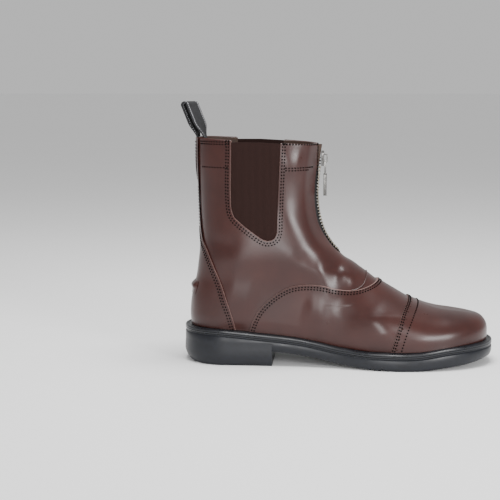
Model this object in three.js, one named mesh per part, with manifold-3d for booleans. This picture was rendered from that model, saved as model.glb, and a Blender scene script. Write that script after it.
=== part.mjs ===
import * as THREE from 'three';
import { mergeVertices } from 'three/addons/utils/BufferGeometryUtils.js';
import Module from 'manifold-3d';

// Front-zip paddock boot, right foot, standing empty on its sole.
// Millimetres. The toe points along +X, up is +Z and the outer side of the foot faces -Y.
// The origin is the middle of the heel's tread, on the floor.

const wasm = await Module();
wasm.setup();

// Driving dimensions of the last and the upper
const upperLength = 274;
const upperBack = -36.5;
const footHeight = 104.6;
const shaftRise = 102.4;
const ballWidth = 92;
const shaftWidth = ballWidth * 0.772;
const heelRound = 117;
const frontRound = 50;
const roundness = 2.2;
const footSwell = 0.035;
const footSwellRise = 12;
const noseNarrowing = 0.5;
const noseReach = 0.25;
const wall = 2.2;
const clearance = 0.3;

// Driving dimensions of the overlays and the small leather parts
const overlayThickness = 1.2;
const seamRidge = 0.8;
const guardThickness = 1.4;
const guardHalfWidth = 17;
const guardBottomBelowAnkle = 2;
const guardTopBelowCollar = 3.5;
const guardCrown = 0.6;
const spurRestReach = 2.6;
const spurRestHalfWidth = 17;

// Driving dimensions of the sole unit
const heelSeat = 34;
const weltWidth = 5.6;
const weltThickness = 4.2;
const weltUnderUpper = 9;
const weltEase = 0.7;
const soleEdgeStep = 0.9;
const soleStepDepth = 1.6;
const soleBelly = 0.45;
const heelBreastX = 40.5;
const heelBackBevel = 5;
const treadEdgeBevel = 1.4;
const insoleThickness = 3;
const grooveDepth = 1.8;
const grooveWidth = 3.2;
const groovePitch = 9;
const grooveBorder = 7;
const heelGrooveStart = 16;

// Driving dimensions of the gores, the zip and the pull loop
const goreThickness = 1.3;
const goreSetBack = 0.6;
const goreTopBelowCollar = 3;
const slotTopHalfWidth = 6.4;
const slotBottomHalfWidth = 7.6;
const slotBottomAboveAnkle = -4;
const tapeThickness = 1.1;
const tapeSetBack = 0.8;
const chainHalfWidth = 3;
const chainHeight = 1.9;
const sliderWidth = 9;
const sliderHeight = 14;
const sliderBody = 2.4;
const sliderBelowCollar = 12;
const bridgeWidth = 2;
const bridgeReach = 3.3;
const bridgeBar = 1.1;
const pullWidth = 5.4;
const pullThickness = 1.4;
const pullLength = 33;
const pullEye = 3;
const pullBarWidth = 4.4;
const pullBarThickness = 3;
const loopWebbing = 1.6;
const loopWidth = 20;
const loopRise = 33;
const loopSewnDepth = 12;
const loopGap = 6.2;
const loopLeanBack = 12.5;
const loopLeanPower = 1.1;

// Sampling of the curved surfaces
const loopCount = 25;
const sidePoints = 20;
const fineSteps = 120;
const endCrowding = 0.42;
const arcSteps = 6;
const ankleShareOfFront = 0.62;
const ankleShareOfBack = 0.35;
const soleHug = 0.3;

// Levels and lengths over which one form of the upper gives way to the next
const shaftStart = 0.42;
const shaftBlend = 0.53;
const noseStart = 0.95;
const noseBlend = 0.3;
const instepStart = 0.44;
const instepBlend = 0.045;

// Front line of the upper from the toe to the collar.
// along is a share of upperLength, level counts 1 at the ankle bend and 2 at the collar.
const frontLine = [
  { along: 0.994, level: 0.208 },
  { along: 0.996, level: 0.272 },
  { along: 0.993, level: 0.332 },
  { along: 0.978, level: 0.386 },
  { along: 0.938, level: 0.420 },
  { along: 0.882, level: 0.446 },
  { along: 0.827, level: 0.468 },
  { along: 0.776, level: 0.508 },
  { along: 0.735, level: 0.556 },
  { along: 0.691, level: 0.624 },
  { along: 0.640, level: 0.706 },
  { along: 0.594, level: 0.796 },
  { along: 0.540, level: 0.898 },
  { along: 0.496, level: 0.990 },
  { along: 0.456, level: 1.129 },
  { along: 0.434, level: 1.291 },
  { along: 0.426, level: 1.459 },
  { along: 0.428, level: 1.639 },
  { along: 0.443, level: 1.940 },
];

// Back line of the upper from the welt to the collar
const backLine = [
  { along: 0.003, level: 0.322 },
  { along: 0.000, level: 0.400 },
  { along: 0.001, level: 0.480 },
  { along: 0.005, level: 0.575 },
  { along: 0.012, level: 0.660 },
  { along: 0.021, level: 0.747 },
  { along: 0.029, level: 0.900 },
  { along: 0.033, level: 1.023 },
  { along: 0.031, level: 1.343 },
  { along: 0.027, level: 1.585 },
  { along: 0.021, level: 1.785 },
  { along: 0.020, level: 2.000 },
];

// Sole heights along the foot as shares of heelSeat: where the upper meets the welt, and the tread.
// The tread dips just below the floor under the ball, where it is cut flat.
const soleLine = [
  { along: 0.00, top: 0.990, tread: 0.435 },
  { along: 0.10, top: 0.975, tread: 0.435 },
  { along: 0.21, top: 0.900, tread: 0.435 },
  { along: 0.35, top: 0.790, tread: 0.330 },
  { along: 0.42, top: 0.700, tread: 0.255 },
  { along: 0.50, top: 0.575, tread: 0.124 },
  { along: 0.59, top: 0.500, tread: 0.035 },
  { along: 0.64, top: 0.489, tread: -0.012 },
  { along: 0.76, top: 0.495, tread: -0.012 },
  { along: 0.86, top: 0.592, tread: 0.070 },
  { along: 0.93, top: 0.630, tread: 0.125 },
  { along: 1.00, top: 0.645, tread: 0.210 },
];

// Half widths of the foot at the welt as shares of ballWidth, and the swing of its middle line
const footPlan = [
  { along: 0.00, outer: 0.320, inner: 0.320, swing: 0.000 },
  { along: 0.13, outer: 0.326, inner: 0.320, swing: 0.000 },
  { along: 0.26, outer: 0.326, inner: 0.304, swing: 0.000 },
  { along: 0.39, outer: 0.337, inner: 0.283, swing: 0.000 },
  { along: 0.50, outer: 0.380, inner: 0.315, swing: 0.000 },
  { along: 0.61, outer: 0.462, inner: 0.413, swing: 0.003 },
  { along: 0.69, outer: 0.495, inner: 0.467, swing: 0.012 },
  { along: 0.76, outer: 0.500, inner: 0.500, swing: 0.025 },
  { along: 0.83, outer: 0.484, inner: 0.505, swing: 0.042 },
  { along: 0.90, outer: 0.457, inner: 0.478, swing: 0.062 },
  { along: 1.00, outer: 0.390, inner: 0.413, swing: 0.087 },
];

// Half width of the shaft as a share of shaftWidth, and the rounding of its back as a share of heelRound
const shaftPlan = [
  { level: 0.30, half: 0.430, back: 0.280 },
  { level: 0.50, half: 0.440, back: 0.290 },
  { level: 0.72, half: 0.470, back: 0.330 },
  { level: 0.95, half: 0.520, back: 0.390 },
  { level: 1.15, half: 0.515, back: 0.420 },
  { level: 1.45, half: 0.500, back: 0.430 },
  { level: 2.00, half: 0.495, back: 0.430 },
];

// Depth over which the top of the foot rounds off, as a share of footHeight
const topRound = [
  { along: 0.44, depth: 0.570 },
  { along: 0.54, depth: 0.520 },
  { along: 0.69, depth: 0.400 },
  { along: 0.83, depth: 0.290 },
  { along: 1.00, depth: 0.250 },
];

// Outline of a gore notch in side view, from its front top corner down and round to the back
const goreOutline = [
  { along: 0.310, level: 2.100 },
  { along: 0.303, level: 1.629 },
  { along: 0.298, level: 1.269 },
  { along: 0.297, level: 1.177 },
  { along: 0.288, level: 1.119 },
  { along: 0.268, level: 1.101 },
  { along: 0.250, level: 1.112 },
  { along: 0.233, level: 1.141 },
  { along: 0.192, level: 1.221 },
  { along: 0.154, level: 1.310 },
  { along: 0.144, level: 1.385 },
  { along: 0.144, level: 2.100 },
];

// Front edge of the counter and its back strap, from the collar to the welt
const counterEdge = [
  { along: 0.026, level: 2.100 },
  { along: 0.030, level: 1.300 },
  { along: 0.043, level: 1.079 },
  { along: 0.057, level: 1.011 },
  { along: 0.085, level: 0.855 },
  { along: 0.109, level: 0.713 },
  { along: 0.126, level: 0.587 },
  { along: 0.143, level: 0.451 },
  { along: 0.155, level: 0.324 },
  { along: 0.165, level: 0.150 },
];

// Top edge of the vamp, from the welt up over the instep
const vampEdge = [
  { along: 0.195, level: 0.150 },
  { along: 0.206, level: 0.308 },
  { along: 0.232, level: 0.464 },
  { along: 0.269, level: 0.574 },
  { along: 0.313, level: 0.660 },
  { along: 0.347, level: 0.699 },
  { along: 0.388, level: 0.716 },
  { along: 0.446, level: 0.710 },
  { along: 0.492, level: 0.678 },
  { along: 0.551, level: 0.667 },
  { along: 0.595, level: 0.690 },
  { along: 0.632, level: 0.733 },
  { along: 0.680, level: 0.830 },
];

// Rear edge of the toe cap strip, from the welt to the ridge
const capRearEdge = [
  { along: 0.668, level: 0.070 },
  { along: 0.676, level: 0.166 },
  { along: 0.693, level: 0.329 },
  { along: 0.710, level: 0.472 },
  { along: 0.733, level: 0.574 },
  { along: 0.752, level: 0.700 },
];

// Profile of the spur rest down the back of the heel, with its reach as a share of spurRestReach
const spurRest = [
  { level: 0.600, reach: 0.10 },
  { level: 0.645, reach: 0.40 },
  { level: 0.672, reach: 1.00 },
  { level: 0.684, reach: 1.00 },
  { level: 0.715, reach: 0.10 },
];

// Heel block from the floor up: height as a share of heelSeat, reach past the sole's edge,
// and how much of heelBackBevel its back is set in by
const heelProfile = [
  { height: 0.00, reach: -1.4, bevel: 1.0 },
  { height: 0.10, reach: -0.4, bevel: 0.4 },
  { height: 0.28, reach: 0.5, bevel: 0.0 },
  { height: 0.45, reach: 0.3, bevel: 0.0 },
  { height: 0.62, reach: 0.0, bevel: 0.0 },
];

// Heights worked out from the driving dimensions
const collarHeight = footHeight + shaftRise;

function heightAt(level) {
  return level <= 1 ? level * footHeight : footHeight + (level - 1) * shaftRise;
}

function lengthAt(along) {
  return upperBack + along * upperLength;
}

function sidePoint(row) {
  return new THREE.Vector2(lengthAt(row.along), heightAt(row.level));
}

function smooth(value) {
  const share = Math.min(1, Math.max(0, value));
  return share * share * (3 - 2 * share);
}

// Smooth reading of one column of a table against another
function read(table, keyName, valueName, key) {
  const last = table.length - 1;
  if (key <= table[0][keyName]) return table[0][valueName];
  if (key >= table[last][keyName]) return table[last][valueName];
  let row = 0;
  while (key > table[row + 1][keyName]) row += 1;
  const slope = (index) => {
    const before = table[Math.max(0, index - 1)];
    const after = table[Math.min(last, index + 1)];
    return (after[valueName] - before[valueName]) / (after[keyName] - before[keyName]);
  };
  const from = table[row];
  const to = table[row + 1];
  const step = to[keyName] - from[keyName];
  const share = (key - from[keyName]) / step;
  const rest = 1 - share;
  return from[valueName] * (1 + 2 * share) * rest * rest
    + slope(row) * step * share * rest * rest
    + to[valueName] * share * share * (3 - 2 * share)
    - slope(row + 1) * step * share * share * rest;
}

// A side line as a dense run of points that can be read by share, by height or by length
function sideLine(rows, samples = 160) {
  const points = rows.map((row) => {
    const point = sidePoint(row);
    return new THREE.Vector3(point.x, 0, point.y);
  });
  const curve = new THREE.CatmullRomCurve3(points, false, 'centripetal');
  return curve.getSpacedPoints(samples);
}

const ridge = sideLine(frontLine);
const backSide = sideLine(backLine);

function crossing(line, axis, value, other) {
  for (let i = 1; i < line.length; i += 1) {
    const from = line[i - 1][axis];
    const to = line[i][axis];
    if ((from - value) * (to - value) <= 0 && from !== to) {
      const share = (value - from) / (to - from);
      return line[i - 1][other] + share * (line[i][other] - line[i - 1][other]);
    }
  }
  const nearStart = Math.abs(line[0][axis] - value) < Math.abs(line[line.length - 1][axis] - value);
  return (nearStart ? line[0] : line[line.length - 1])[other];
}

const ridgeXAt = (z) => crossing(ridge, 'z', z, 'x');
const ridgeZAt = (x) => crossing(ridge, 'x', x, 'z');
const backXAt = (z) => crossing(backSide, 'z', z, 'x');

const alongAt = (x) => (x - upperBack) / upperLength;
const levelAt = (z) => (z <= footHeight ? z / footHeight : 1 + (z - footHeight) / shaftRise);
const welt = (x) => heelSeat * read(soleLine, 'along', 'top', alongAt(x));
const tread = (x) => heelSeat * read(soleLine, 'along', 'tread', alongAt(x));
const middle = (x) => ballWidth * read(footPlan, 'along', 'swing', alongAt(x));

function roundedOff(share) {
  const kept = 1 - Math.min(1, Math.max(0, share));
  return (1 - kept ** roundness) ** (1 / roundness);
}

// Half width of the upper at a place in its side view: outer side at -1, inner side at +1
function halfWidth(side, x, z) {
  const along = alongAt(x);
  const level = levelAt(z);
  const foot = ballWidth * read(footPlan, 'along', side < 0 ? 'outer' : 'inner', along);
  const shaft = shaftWidth * read(shaftPlan, 'level', 'half', level);
  const ankleShare = smooth((level - shaftStart) / shaftBlend);
  const flat = foot + (shaft - foot) * ankleShare;
  const bulge = 1 + footSwell * smooth((z - welt(x)) / footSwellRise) * (1 - ankleShare);
  const backShare = (x - backXAt(z)) / (heelRound * read(shaftPlan, 'level', 'back', level));
  const forward = (ridgeXAt(z) - x) / frontRound;
  let frontShare = forward;
  const overFoot = smooth((along - instepStart) / instepBlend);
  if (overFoot > 0 && forward > 0) {
    const depth = footHeight * read(topRound, 'along', 'depth', along);
    const below = Math.max(1e-6, (ridgeZAt(x) - z) / depth);
    frontShare = 1 / Math.sqrt(1 / forward ** 2 + overFoot / below ** 2);
  }
  const onNose = smooth((level - noseStart) / noseBlend) * (1 - smooth(forward / noseReach));
  const nose = 1 - noseNarrowing * onNose;
  return flat * bulge * nose * roundedOff(backShare) * roundedOff(frontShare);
}

function pointAlong(line, share) {
  const place = share * (line.length - 1);
  const index = Math.min(line.length - 2, Math.floor(place));
  return new THREE.Vector3().lerpVectors(line[index], line[index + 1], place - index);
}

// One loop of the upper's outer face, from the back round the outer side to the front and back again
function skinLoop(share) {
  const front = pointAlong(ridge, share);
  const pastAnkle = Math.max(0, share - ankleShareOfFront) / (1 - ankleShareOfFront);
  const upToAnkle = Math.min(1, share / ankleShareOfFront);
  const back = pointAlong(backSide, ankleShareOfBack * upToAnkle + (1 - ankleShareOfBack) * pastAnkle);
  const hugSole = 1 - smooth(share / soleHug);
  const half = (side) => {
    const fine = [];
    for (let i = 0; i <= fineSteps; i += 1) {
      const reach = (1 - Math.cos(Math.PI * i / fineSteps)) / 2;
      const x = back.x + (front.x - back.x) * reach;
      const chord = back.z + (front.z - back.z) * reach;
      const chordAtSole = backSide[0].z + (ridge[0].z - backSide[0].z) * reach;
      const z = chord + hugSole * (welt(x) - chordAtSole);
      const ends = i === 0 || i === fineSteps;
      const y = middle(x) + (ends ? 0 : side * halfWidth(side, x, z));
      fine.push(new THREE.Vector3(x, y, z));
    }
    return spacedOut(fine, sidePoints);
  };
  const outer = half(-1);
  const inner = half(1).reverse();
  return outer.concat(inner.slice(1, -1));
}

// Points along a half loop, closer together where it turns round the heel and the toe
function spacedOut(points, count) {
  const reach = [0];
  for (let i = 1; i < points.length; i += 1) reach.push(reach[i - 1] + points[i].distanceTo(points[i - 1]));
  const total = reach[reach.length - 1];
  const spaced = [];
  let index = 0;
  for (let i = 0; i <= count; i += 1) {
    const share = i / count;
    const target = total * (share - endCrowding * Math.sin(2 * Math.PI * share) / (2 * Math.PI));
    while (index < points.length - 2 && reach[index + 1] < target) index += 1;
    const between = (target - reach[index]) / (reach[index + 1] - reach[index]);
    spaced.push(new THREE.Vector3().lerpVectors(points[index], points[index + 1], between));
  }
  return spaced;
}

const skin = [];
for (let i = 0; i < loopCount; i += 1) skin.push(skinLoop(i / (loopCount - 1)));
const around = skin[0].length;

// Outward directions of the skin's points, level on the first and last loops
const outward = skin.map((loop, row) => loop.map((point, column) => {
  const next = loop[(column + 1) % around];
  const before = loop[(column + around - 1) % around];
  const above = skin[Math.min(loopCount - 1, row + 1)][column];
  const under = skin[Math.max(0, row - 1)][column];
  const direction = new THREE.Vector3().crossVectors(
    new THREE.Vector3().subVectors(next, before),
    new THREE.Vector3().subVectors(above, under),
  );
  if (row === 0 || row === loopCount - 1) direction.z = 0;
  return direction.normalize();
}));

function skinAt(offset) {
  return skin.map((loop, row) => loop.map((point, column) => (
    point.clone().addScaledVector(outward[row][column], offset)
  )));
}

// A closed solid from a ring of loops, each with the same number of points
function ringSolid(loops) {
  const count = loops[0].length;
  const vertices = [];
  loops.forEach((loop) => loop.forEach((point) => vertices.push(point.x, point.y, point.z)));
  const triangles = [];
  for (let row = 0; row < loops.length; row += 1) {
    const nextRow = (row + 1) % loops.length;
    for (let column = 0; column < count; column += 1) {
      const nextColumn = (column + 1) % count;
      const a = row * count + column;
      const b = row * count + nextColumn;
      const c = nextRow * count + nextColumn;
      const d = nextRow * count + column;
      triangles.push(a, b, c, a, c, d);
    }
  }
  return solidFrom(vertices, triangles);
}

// A closed solid from a stack of loops with its two ends bridged from the outer to the inner side
function stackSolid(loops) {
  const count = loops[0].length;
  const vertices = [];
  loops.forEach((loop) => loop.forEach((point) => vertices.push(point.x, point.y, point.z)));
  const triangles = [];
  for (let row = 0; row < loops.length - 1; row += 1) {
    for (let column = 0; column < count; column += 1) {
      const nextColumn = (column + 1) % count;
      const a = row * count + column;
      const b = row * count + nextColumn;
      const c = (row + 1) * count + nextColumn;
      const d = (row + 1) * count + column;
      triangles.push(a, b, c, a, c, d);
    }
  }
  const cap = (base, flip) => {
    const half = count / 2;
    const put = (a, b, c) => (flip ? triangles.push(a, c, b) : triangles.push(a, b, c));
    for (let i = 0; i < half; i += 1) {
      const outer = base + i;
      const outerNext = base + i + 1;
      const inner = base + (count - i) % count;
      const innerNext = base + (count - i - 1) % count;
      if (i < half - 1) put(outer, innerNext, outerNext);
      if (i > 0) put(outer, inner, innerNext);
    }
  };
  cap(0, false);
  cap((loops.length - 1) * count, true);
  return solidFrom(vertices, triangles);
}

function solidFrom(vertices, triangles) {
  return new wasm.Manifold(new wasm.Mesh({
    numProp: 3,
    vertProperties: new Float32Array(vertices),
    triVerts: new Uint32Array(triangles),
  }));
}

function solidOf(geometry) {
  const bare = geometry.clone();
  bare.deleteAttribute('normal');
  bare.deleteAttribute('uv');
  const merged = mergeVertices(bare, 1e-4);
  return solidFrom(merged.attributes.position.array, merged.index.array);
}

function geometryOf(solid) {
  const mesh = solid.getMesh();
  const geometry = new THREE.BufferGeometry();
  geometry.setAttribute('position', new THREE.BufferAttribute(new Float32Array(mesh.vertProperties), 3));
  geometry.setIndex(new THREE.BufferAttribute(new Uint32Array(mesh.triVerts), 1));
  return geometry;
}

// A side-view outline pushed through the boot from side to side
function acrossBoot(points, from = -90, to = 90) {
  const shape = new THREE.Shape(points.map((point) => new THREE.Vector2(point.x, point.y)));
  const geometry = new THREE.ExtrudeGeometry(shape, { depth: to - from, bevelEnabled: false });
  geometry.rotateX(Math.PI / 2);
  geometry.translate(0, to, 0);
  return solidOf(geometry);
}

// A front-view outline of y and z pushed through the boot from the back to the front
function alongBoot(points, from, to) {
  const shape = new THREE.Shape(points.map((point) => new THREE.Vector2(point.x, point.y)));
  const geometry = new THREE.ExtrudeGeometry(shape, { depth: to - from, bevelEnabled: false });
  geometry.rotateX(Math.PI / 2);
  geometry.rotateZ(Math.PI / 2);
  geometry.translate(from, 0, 0);
  return solidOf(geometry);
}

function block(x0, x1, y0, y1, z0, z1) {
  const geometry = new THREE.BoxGeometry(x1 - x0, y1 - y0, z1 - z0);
  geometry.translate((x0 + x1) / 2, (y0 + y1) / 2, (z0 + z1) / 2);
  return solidOf(geometry);
}

// The same outline with its sides moved outwards by a distance
function grown(points, distance) {
  const turn = THREE.ShapeUtils.area(points) > 0 ? 1 : -1;
  return points.map((point, i) => {
    const before = points[(i + points.length - 1) % points.length];
    const after = points[(i + 1) % points.length];
    const arriving = point.clone().sub(before).normalize();
    const leaving = after.clone().sub(point).normalize();
    const bisector = arriving.clone().add(leaving).normalize();
    const spread = Math.max(0.4, bisector.dot(arriving));
    return new THREE.Vector2(
      point.x + turn * bisector.y * distance / spread,
      point.y - turn * bisector.x * distance / spread,
    );
  });
}

function curved(rows, count) {
  const points = rows.map((row) => {
    const point = sidePoint(row);
    return new THREE.Vector3(point.x, point.y, 0);
  });
  const curve = new THREE.CatmullRomCurve3(points, false, 'centripetal');
  return curve.getSpacedPoints(count).map((point) => new THREE.Vector2(point.x, point.y));
}

// Each four-sided patch of the skin is split the same way in every layer, so that layers stay parallel
const splitForward = skin.slice(0, -1).map((loop, row) => loop.map((point, column) => {
  const next = (column + 1) % around;
  const forward = point.distanceTo(skin[row + 1][next]);
  return forward <= loop[next].distanceTo(skin[row + 1][column]);
}));

// A layer of the upper between two distances from its skin
function layer(inside, outside) {
  const vertices = [];
  const faces = [skinAt(outside), skinAt(inside)];
  faces.forEach((face) => face.flat().forEach((point) => vertices.push(point.x, point.y, point.z)));
  const innerStart = loopCount * around;
  const triangles = [];
  for (let row = 0; row < loopCount - 1; row += 1) {
    for (let column = 0; column < around; column += 1) {
      const a = row * around + column;
      const b = row * around + (column + 1) % around;
      const c = b + around;
      const d = a + around;
      const split = splitForward[row][column] ? [[a, b, c], [a, c, d]] : [[a, b, d], [b, c, d]];
      split.forEach(([p, q, r]) => {
        triangles.push(p, q, r);
        triangles.push(innerStart + p, innerStart + r, innerStart + q);
      });
    }
  }
  const top = (loopCount - 1) * around;
  for (let column = 0; column < around; column += 1) {
    const next = (column + 1) % around;
    triangles.push(column, innerStart + next, next, column, innerStart + column, innerStart + next);
    triangles.push(top + column, top + next, innerStart + top + next);
    triangles.push(top + column, innerStart + top + next, innerStart + top + column);
  }
  return solidFrom(vertices, triangles);
}

const boot = new THREE.Group();

const leather = { color: 0x3a1d14, roughness: 0.35, metalness: 0 };
const rubber = { color: 0x17181a, roughness: 0.55, metalness: 0 };
const elastic = { color: 0x241a18, roughness: 0.9, metalness: 0 };
const webbing = { color: 0x101012, roughness: 0.9, metalness: 0 };
const lining = { color: 0x5a3826, roughness: 0.8, metalness: 0 };
const metal = { color: 0x9a9a98, roughness: 0.35, metalness: 1 };
const brass = { color: 0x6e6550, roughness: 0.45, metalness: 1 };

function add(name, solid, finish) {
  const mesh = new THREE.Mesh(geometryOf(solid), new THREE.MeshStandardMaterial(finish));
  mesh.name = name;
  boot.add(mesh);
  return mesh;
}

// Upper: one hollow wall, cut for the gores and for the zip
const goreTop = collarHeight - goreTopBelowCollar;
const goreSides = goreOutline.map(sidePoint);
const goreCut = acrossBoot(goreSides);

function slotOutline(inset, top) {
  const bottom = heightAt(1) + slotBottomAboveAnkle + inset;
  const outline = [new THREE.Vector2(slotTopHalfWidth - inset, top)];
  for (let i = 0; i <= arcSteps; i += 1) {
    const turn = Math.PI / 2 * i / arcSteps;
    const halfAt = slotBottomHalfWidth - inset;
    outline.push(new THREE.Vector2(
      halfAt * Math.cos(turn),
      bottom + halfAt * (1 - Math.sin(turn)),
    ));
  }
  for (let i = outline.length - 2; i >= 0; i -= 1) {
    outline.push(new THREE.Vector2(-outline[i].x, outline[i].y));
  }
  return outline;
}

const slotBack = lengthAt(0.3);
const slotFront = lengthAt(0.6);
const zipCut = alongBoot(slotOutline(0, collarHeight + 20), slotBack, slotFront);
const upper = layer(-wall, 0).subtract(goreCut).subtract(zipCut);
add('upper', upper, leather);

// Leather overlays that stand on the wall: counter with its back strap, vamp and toe cap
const overlay = layer(clearance, clearance + overlayThickness);

const counterFront = curved(counterEdge, 16);
const counterShape = counterFront.concat([
  new THREE.Vector2(upperBack - 20, 0),
  new THREE.Vector2(upperBack - 20, collarHeight + 20),
]);
add('counter', overlay.intersect(acrossBoot(counterShape)), leather);

const vampTop = curved(vampEdge, 24);
const capRear = curved(capRearEdge, 6);
const aboveVamp = sidePoint({ along: 0.75, level: 0.95 });
const vampShape = vampTop.concat([aboveVamp], capRear.slice().reverse());
add('vamp', overlay.intersect(acrossBoot(vampShape)), leather);

// The toe cap lies over the front edge of the vamp, so it is the thicker layer
const capLayer = layer(clearance, clearance + overlayThickness + seamRidge);
const capEdge = capRear.map((point) => new THREE.Vector2(point.x + clearance, point.y));
const pastToe = { along: 1.1, level: 0.9 };
const capShape = capEdge.concat([
  sidePoint(pastToe),
  new THREE.Vector2(lengthAt(pastToe.along), 0),
]);
add('toe_cap', capLayer.intersect(acrossBoot(capShape)), leather);

// Spur rest: a small ledge round the back of the heel
const overlayFace = clearance + overlayThickness;
const spurLayer = layer(overlayFace + clearance, overlayFace + clearance + spurRestReach);
const spurOutside = spurRest.map((row) => {
  const z = heightAt(row.level);
  const face = backXAt(z) - overlayFace - clearance;
  return new THREE.Vector2(face - spurRestReach * row.reach, z);
});
const spurFront = lengthAt(0.07);
const spurShape = spurOutside.concat([
  new THREE.Vector2(spurFront, heightAt(spurRest[spurRest.length - 1].level)),
  new THREE.Vector2(spurFront, heightAt(spurRest[0].level)),
]);
const spurSides = block(upperBack - 20, spurFront, -spurRestHalfWidth, spurRestHalfWidth, 0, collarHeight);
add('spur_rest', spurLayer.intersect(acrossBoot(spurShape)).intersect(spurSides), leather);

// Elastic gores, set back in their notches
const goreLayer = layer(-goreSetBack - goreThickness, -goreSetBack);
const gorePanel = acrossBoot(grown(goreSides, -clearance)).intersect(
  block(upperBack, lengthAt(0.5), -90, 90, 0, goreTop),
);
const gores = goreLayer.intersect(gorePanel);
add('gore_lateral', gores.intersect(block(upperBack, lengthAt(0.5), -90, 0, 0, collarHeight)), elastic);
add('gore_medial', gores.intersect(block(upperBack, lengthAt(0.5), 0, 90, 0, collarHeight)), elastic);

// Front zip: tape in the slot, chain on the tape, slider near the collar
const sliderTop = collarHeight - sliderBelowCollar;
const sliderBottom = sliderTop - sliderHeight;
const tapeLayer = layer(-tapeSetBack - tapeThickness, -tapeSetBack);
const tapePanel = alongBoot(slotOutline(clearance, collarHeight - goreTopBelowCollar), slotBack, slotFront);
add('zip_tape', tapeLayer.intersect(tapePanel), webbing);

const chainBottom = heightAt(1) + slotBottomAboveAnkle + 2;
const chainLayer = layer(-tapeSetBack + clearance, -tapeSetBack + clearance + chainHeight);
const chainSpan = block(
  slotBack, slotFront, -chainHalfWidth, chainHalfWidth, chainBottom, sliderBottom - clearance,
);
add('zip_teeth', chainLayer.intersect(chainSpan), brass);

// A closed front-view outline from its right side, given from the bottom to the top
function mirrored(rows) {
  const right = rows.map((row) => new THREE.Vector2(row.across, row.up));
  const left = rows.map((row) => new THREE.Vector2(-row.across, row.up)).reverse();
  return right.concat(left);
}

const sliderMiddle = (sliderTop + sliderBottom) / 2;
const sliderBackFace = Math.max(ridgeXAt(sliderTop), ridgeXAt(sliderBottom)) - tapeSetBack + clearance;
const sliderShape = mirrored([
  { across: sliderWidth * 0.28, up: sliderBottom },
  { across: sliderWidth * 0.38, up: sliderBottom + sliderHeight * 0.45 },
  { across: sliderWidth * 0.50, up: sliderBottom + sliderHeight * 0.75 },
  { across: sliderWidth * 0.42, up: sliderTop },
]);
const sliderPlate = alongBoot(sliderShape, sliderBackFace, sliderBackFace + sliderBody);
const bridgeFoot = sliderBackFace + sliderBody;
const bridgeHalf = sliderHeight * 0.3;
const bridgeShape = [
  new THREE.Vector2(bridgeFoot - 0.2, sliderMiddle - bridgeHalf),
  new THREE.Vector2(bridgeFoot + bridgeReach * 0.7, sliderMiddle - bridgeHalf),
  new THREE.Vector2(bridgeFoot + bridgeReach, sliderMiddle - bridgeHalf + 1.2),
  new THREE.Vector2(bridgeFoot + bridgeReach, sliderMiddle + bridgeHalf - 1.2),
  new THREE.Vector2(bridgeFoot + bridgeReach * 0.7, sliderMiddle + bridgeHalf),
  new THREE.Vector2(bridgeFoot - 0.2, sliderMiddle + bridgeHalf),
];
const bridgeHole = [
  new THREE.Vector2(bridgeFoot, sliderMiddle - bridgeHalf + bridgeBar),
  new THREE.Vector2(bridgeFoot + bridgeReach - bridgeBar, sliderMiddle - bridgeHalf + bridgeBar),
  new THREE.Vector2(bridgeFoot + bridgeReach - bridgeBar, sliderMiddle + bridgeHalf - bridgeBar),
  new THREE.Vector2(bridgeFoot, sliderMiddle + bridgeHalf - bridgeBar),
];
const bridge = acrossBoot(bridgeShape, -bridgeWidth / 2, bridgeWidth / 2)
  .subtract(acrossBoot(bridgeHole, -bridgeWidth, bridgeWidth));
add('zip_slider', sliderPlate.add(bridge), metal);

// Pull tab: its flat eye hangs through the slider's bridge, and a thicker bar hangs from the eye
const hangX = bridgeFoot + (bridgeReach - bridgeBar) / 2;
const pullTop = sliderMiddle - bridgeHalf + bridgeBar + clearance + pullThickness;
const eyeTop = pullTop - pullThickness;
const barTop = pullTop - pullLength * 0.38;
const pullBottom = pullTop - pullLength;
const eyeShape = mirrored([
  { across: pullBarWidth / 2, up: barTop - pullThickness },
  { across: pullWidth / 2, up: barTop + pullThickness },
  { across: pullWidth / 2, up: pullTop - pullThickness },
  { across: pullEye / 2, up: pullTop },
]);
const barShape = mirrored([
  { across: pullBarWidth * 0.4, up: pullBottom },
  { across: pullBarWidth / 2, up: pullBottom + pullThickness },
  { across: pullBarWidth / 2, up: barTop - pullThickness },
  { across: pullBarWidth * 0.3, up: barTop },
]);
const eyePlate = alongBoot(eyeShape, hangX - pullThickness / 2, hangX + pullThickness / 2);
const bar = alongBoot(barShape, hangX - pullBarThickness / 2, hangX + pullBarThickness / 2);
const eyeHole = block(
  hangX - pullWidth, hangX + pullWidth, -pullEye / 2, pullEye / 2, barTop + pullThickness, eyeTop,
);
add('zip_pull', eyePlate.subtract(eyeHole).add(bar), metal);

// Guard flap behind the zip
const guardFace = -wall - clearance;
const guardBottom = heightAt(1) - guardBottomBelowAnkle;
const guardTop = collarHeight - guardTopBelowCollar;
const guardShape = [];
for (let i = 0; i <= 2 * arcSteps; i += 1) {
  const turn = Math.PI * i / (2 * arcSteps);
  guardShape.push(new THREE.Vector2(
    guardHalfWidth * Math.cos(turn),
    guardTop - guardHalfWidth * guardCrown * (1 - Math.sin(turn)),
  ));
}
guardShape.push(new THREE.Vector2(-guardHalfWidth, guardBottom));
guardShape.push(new THREE.Vector2(guardHalfWidth, guardBottom));
const guardLayer = layer(guardFace - guardThickness, guardFace);
add('zip_guard', guardLayer.intersect(alongBoot(guardShape, slotBack, slotFront)), leather);

// Sole outlines follow the foot of the upper
function planLoop(offset, heightOf, backExtra = 0) {
  return skin[0].map((point, column) => {
    const direction = outward[0][column];
    const rear = Math.max(0, -direction.x) ** 2;
    const reach = offset - backExtra * rear;
    const x = point.x + direction.x * reach;
    const y = point.y + direction.y * reach;
    return new THREE.Vector3(x, y, heightOf(x));
  });
}

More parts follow.
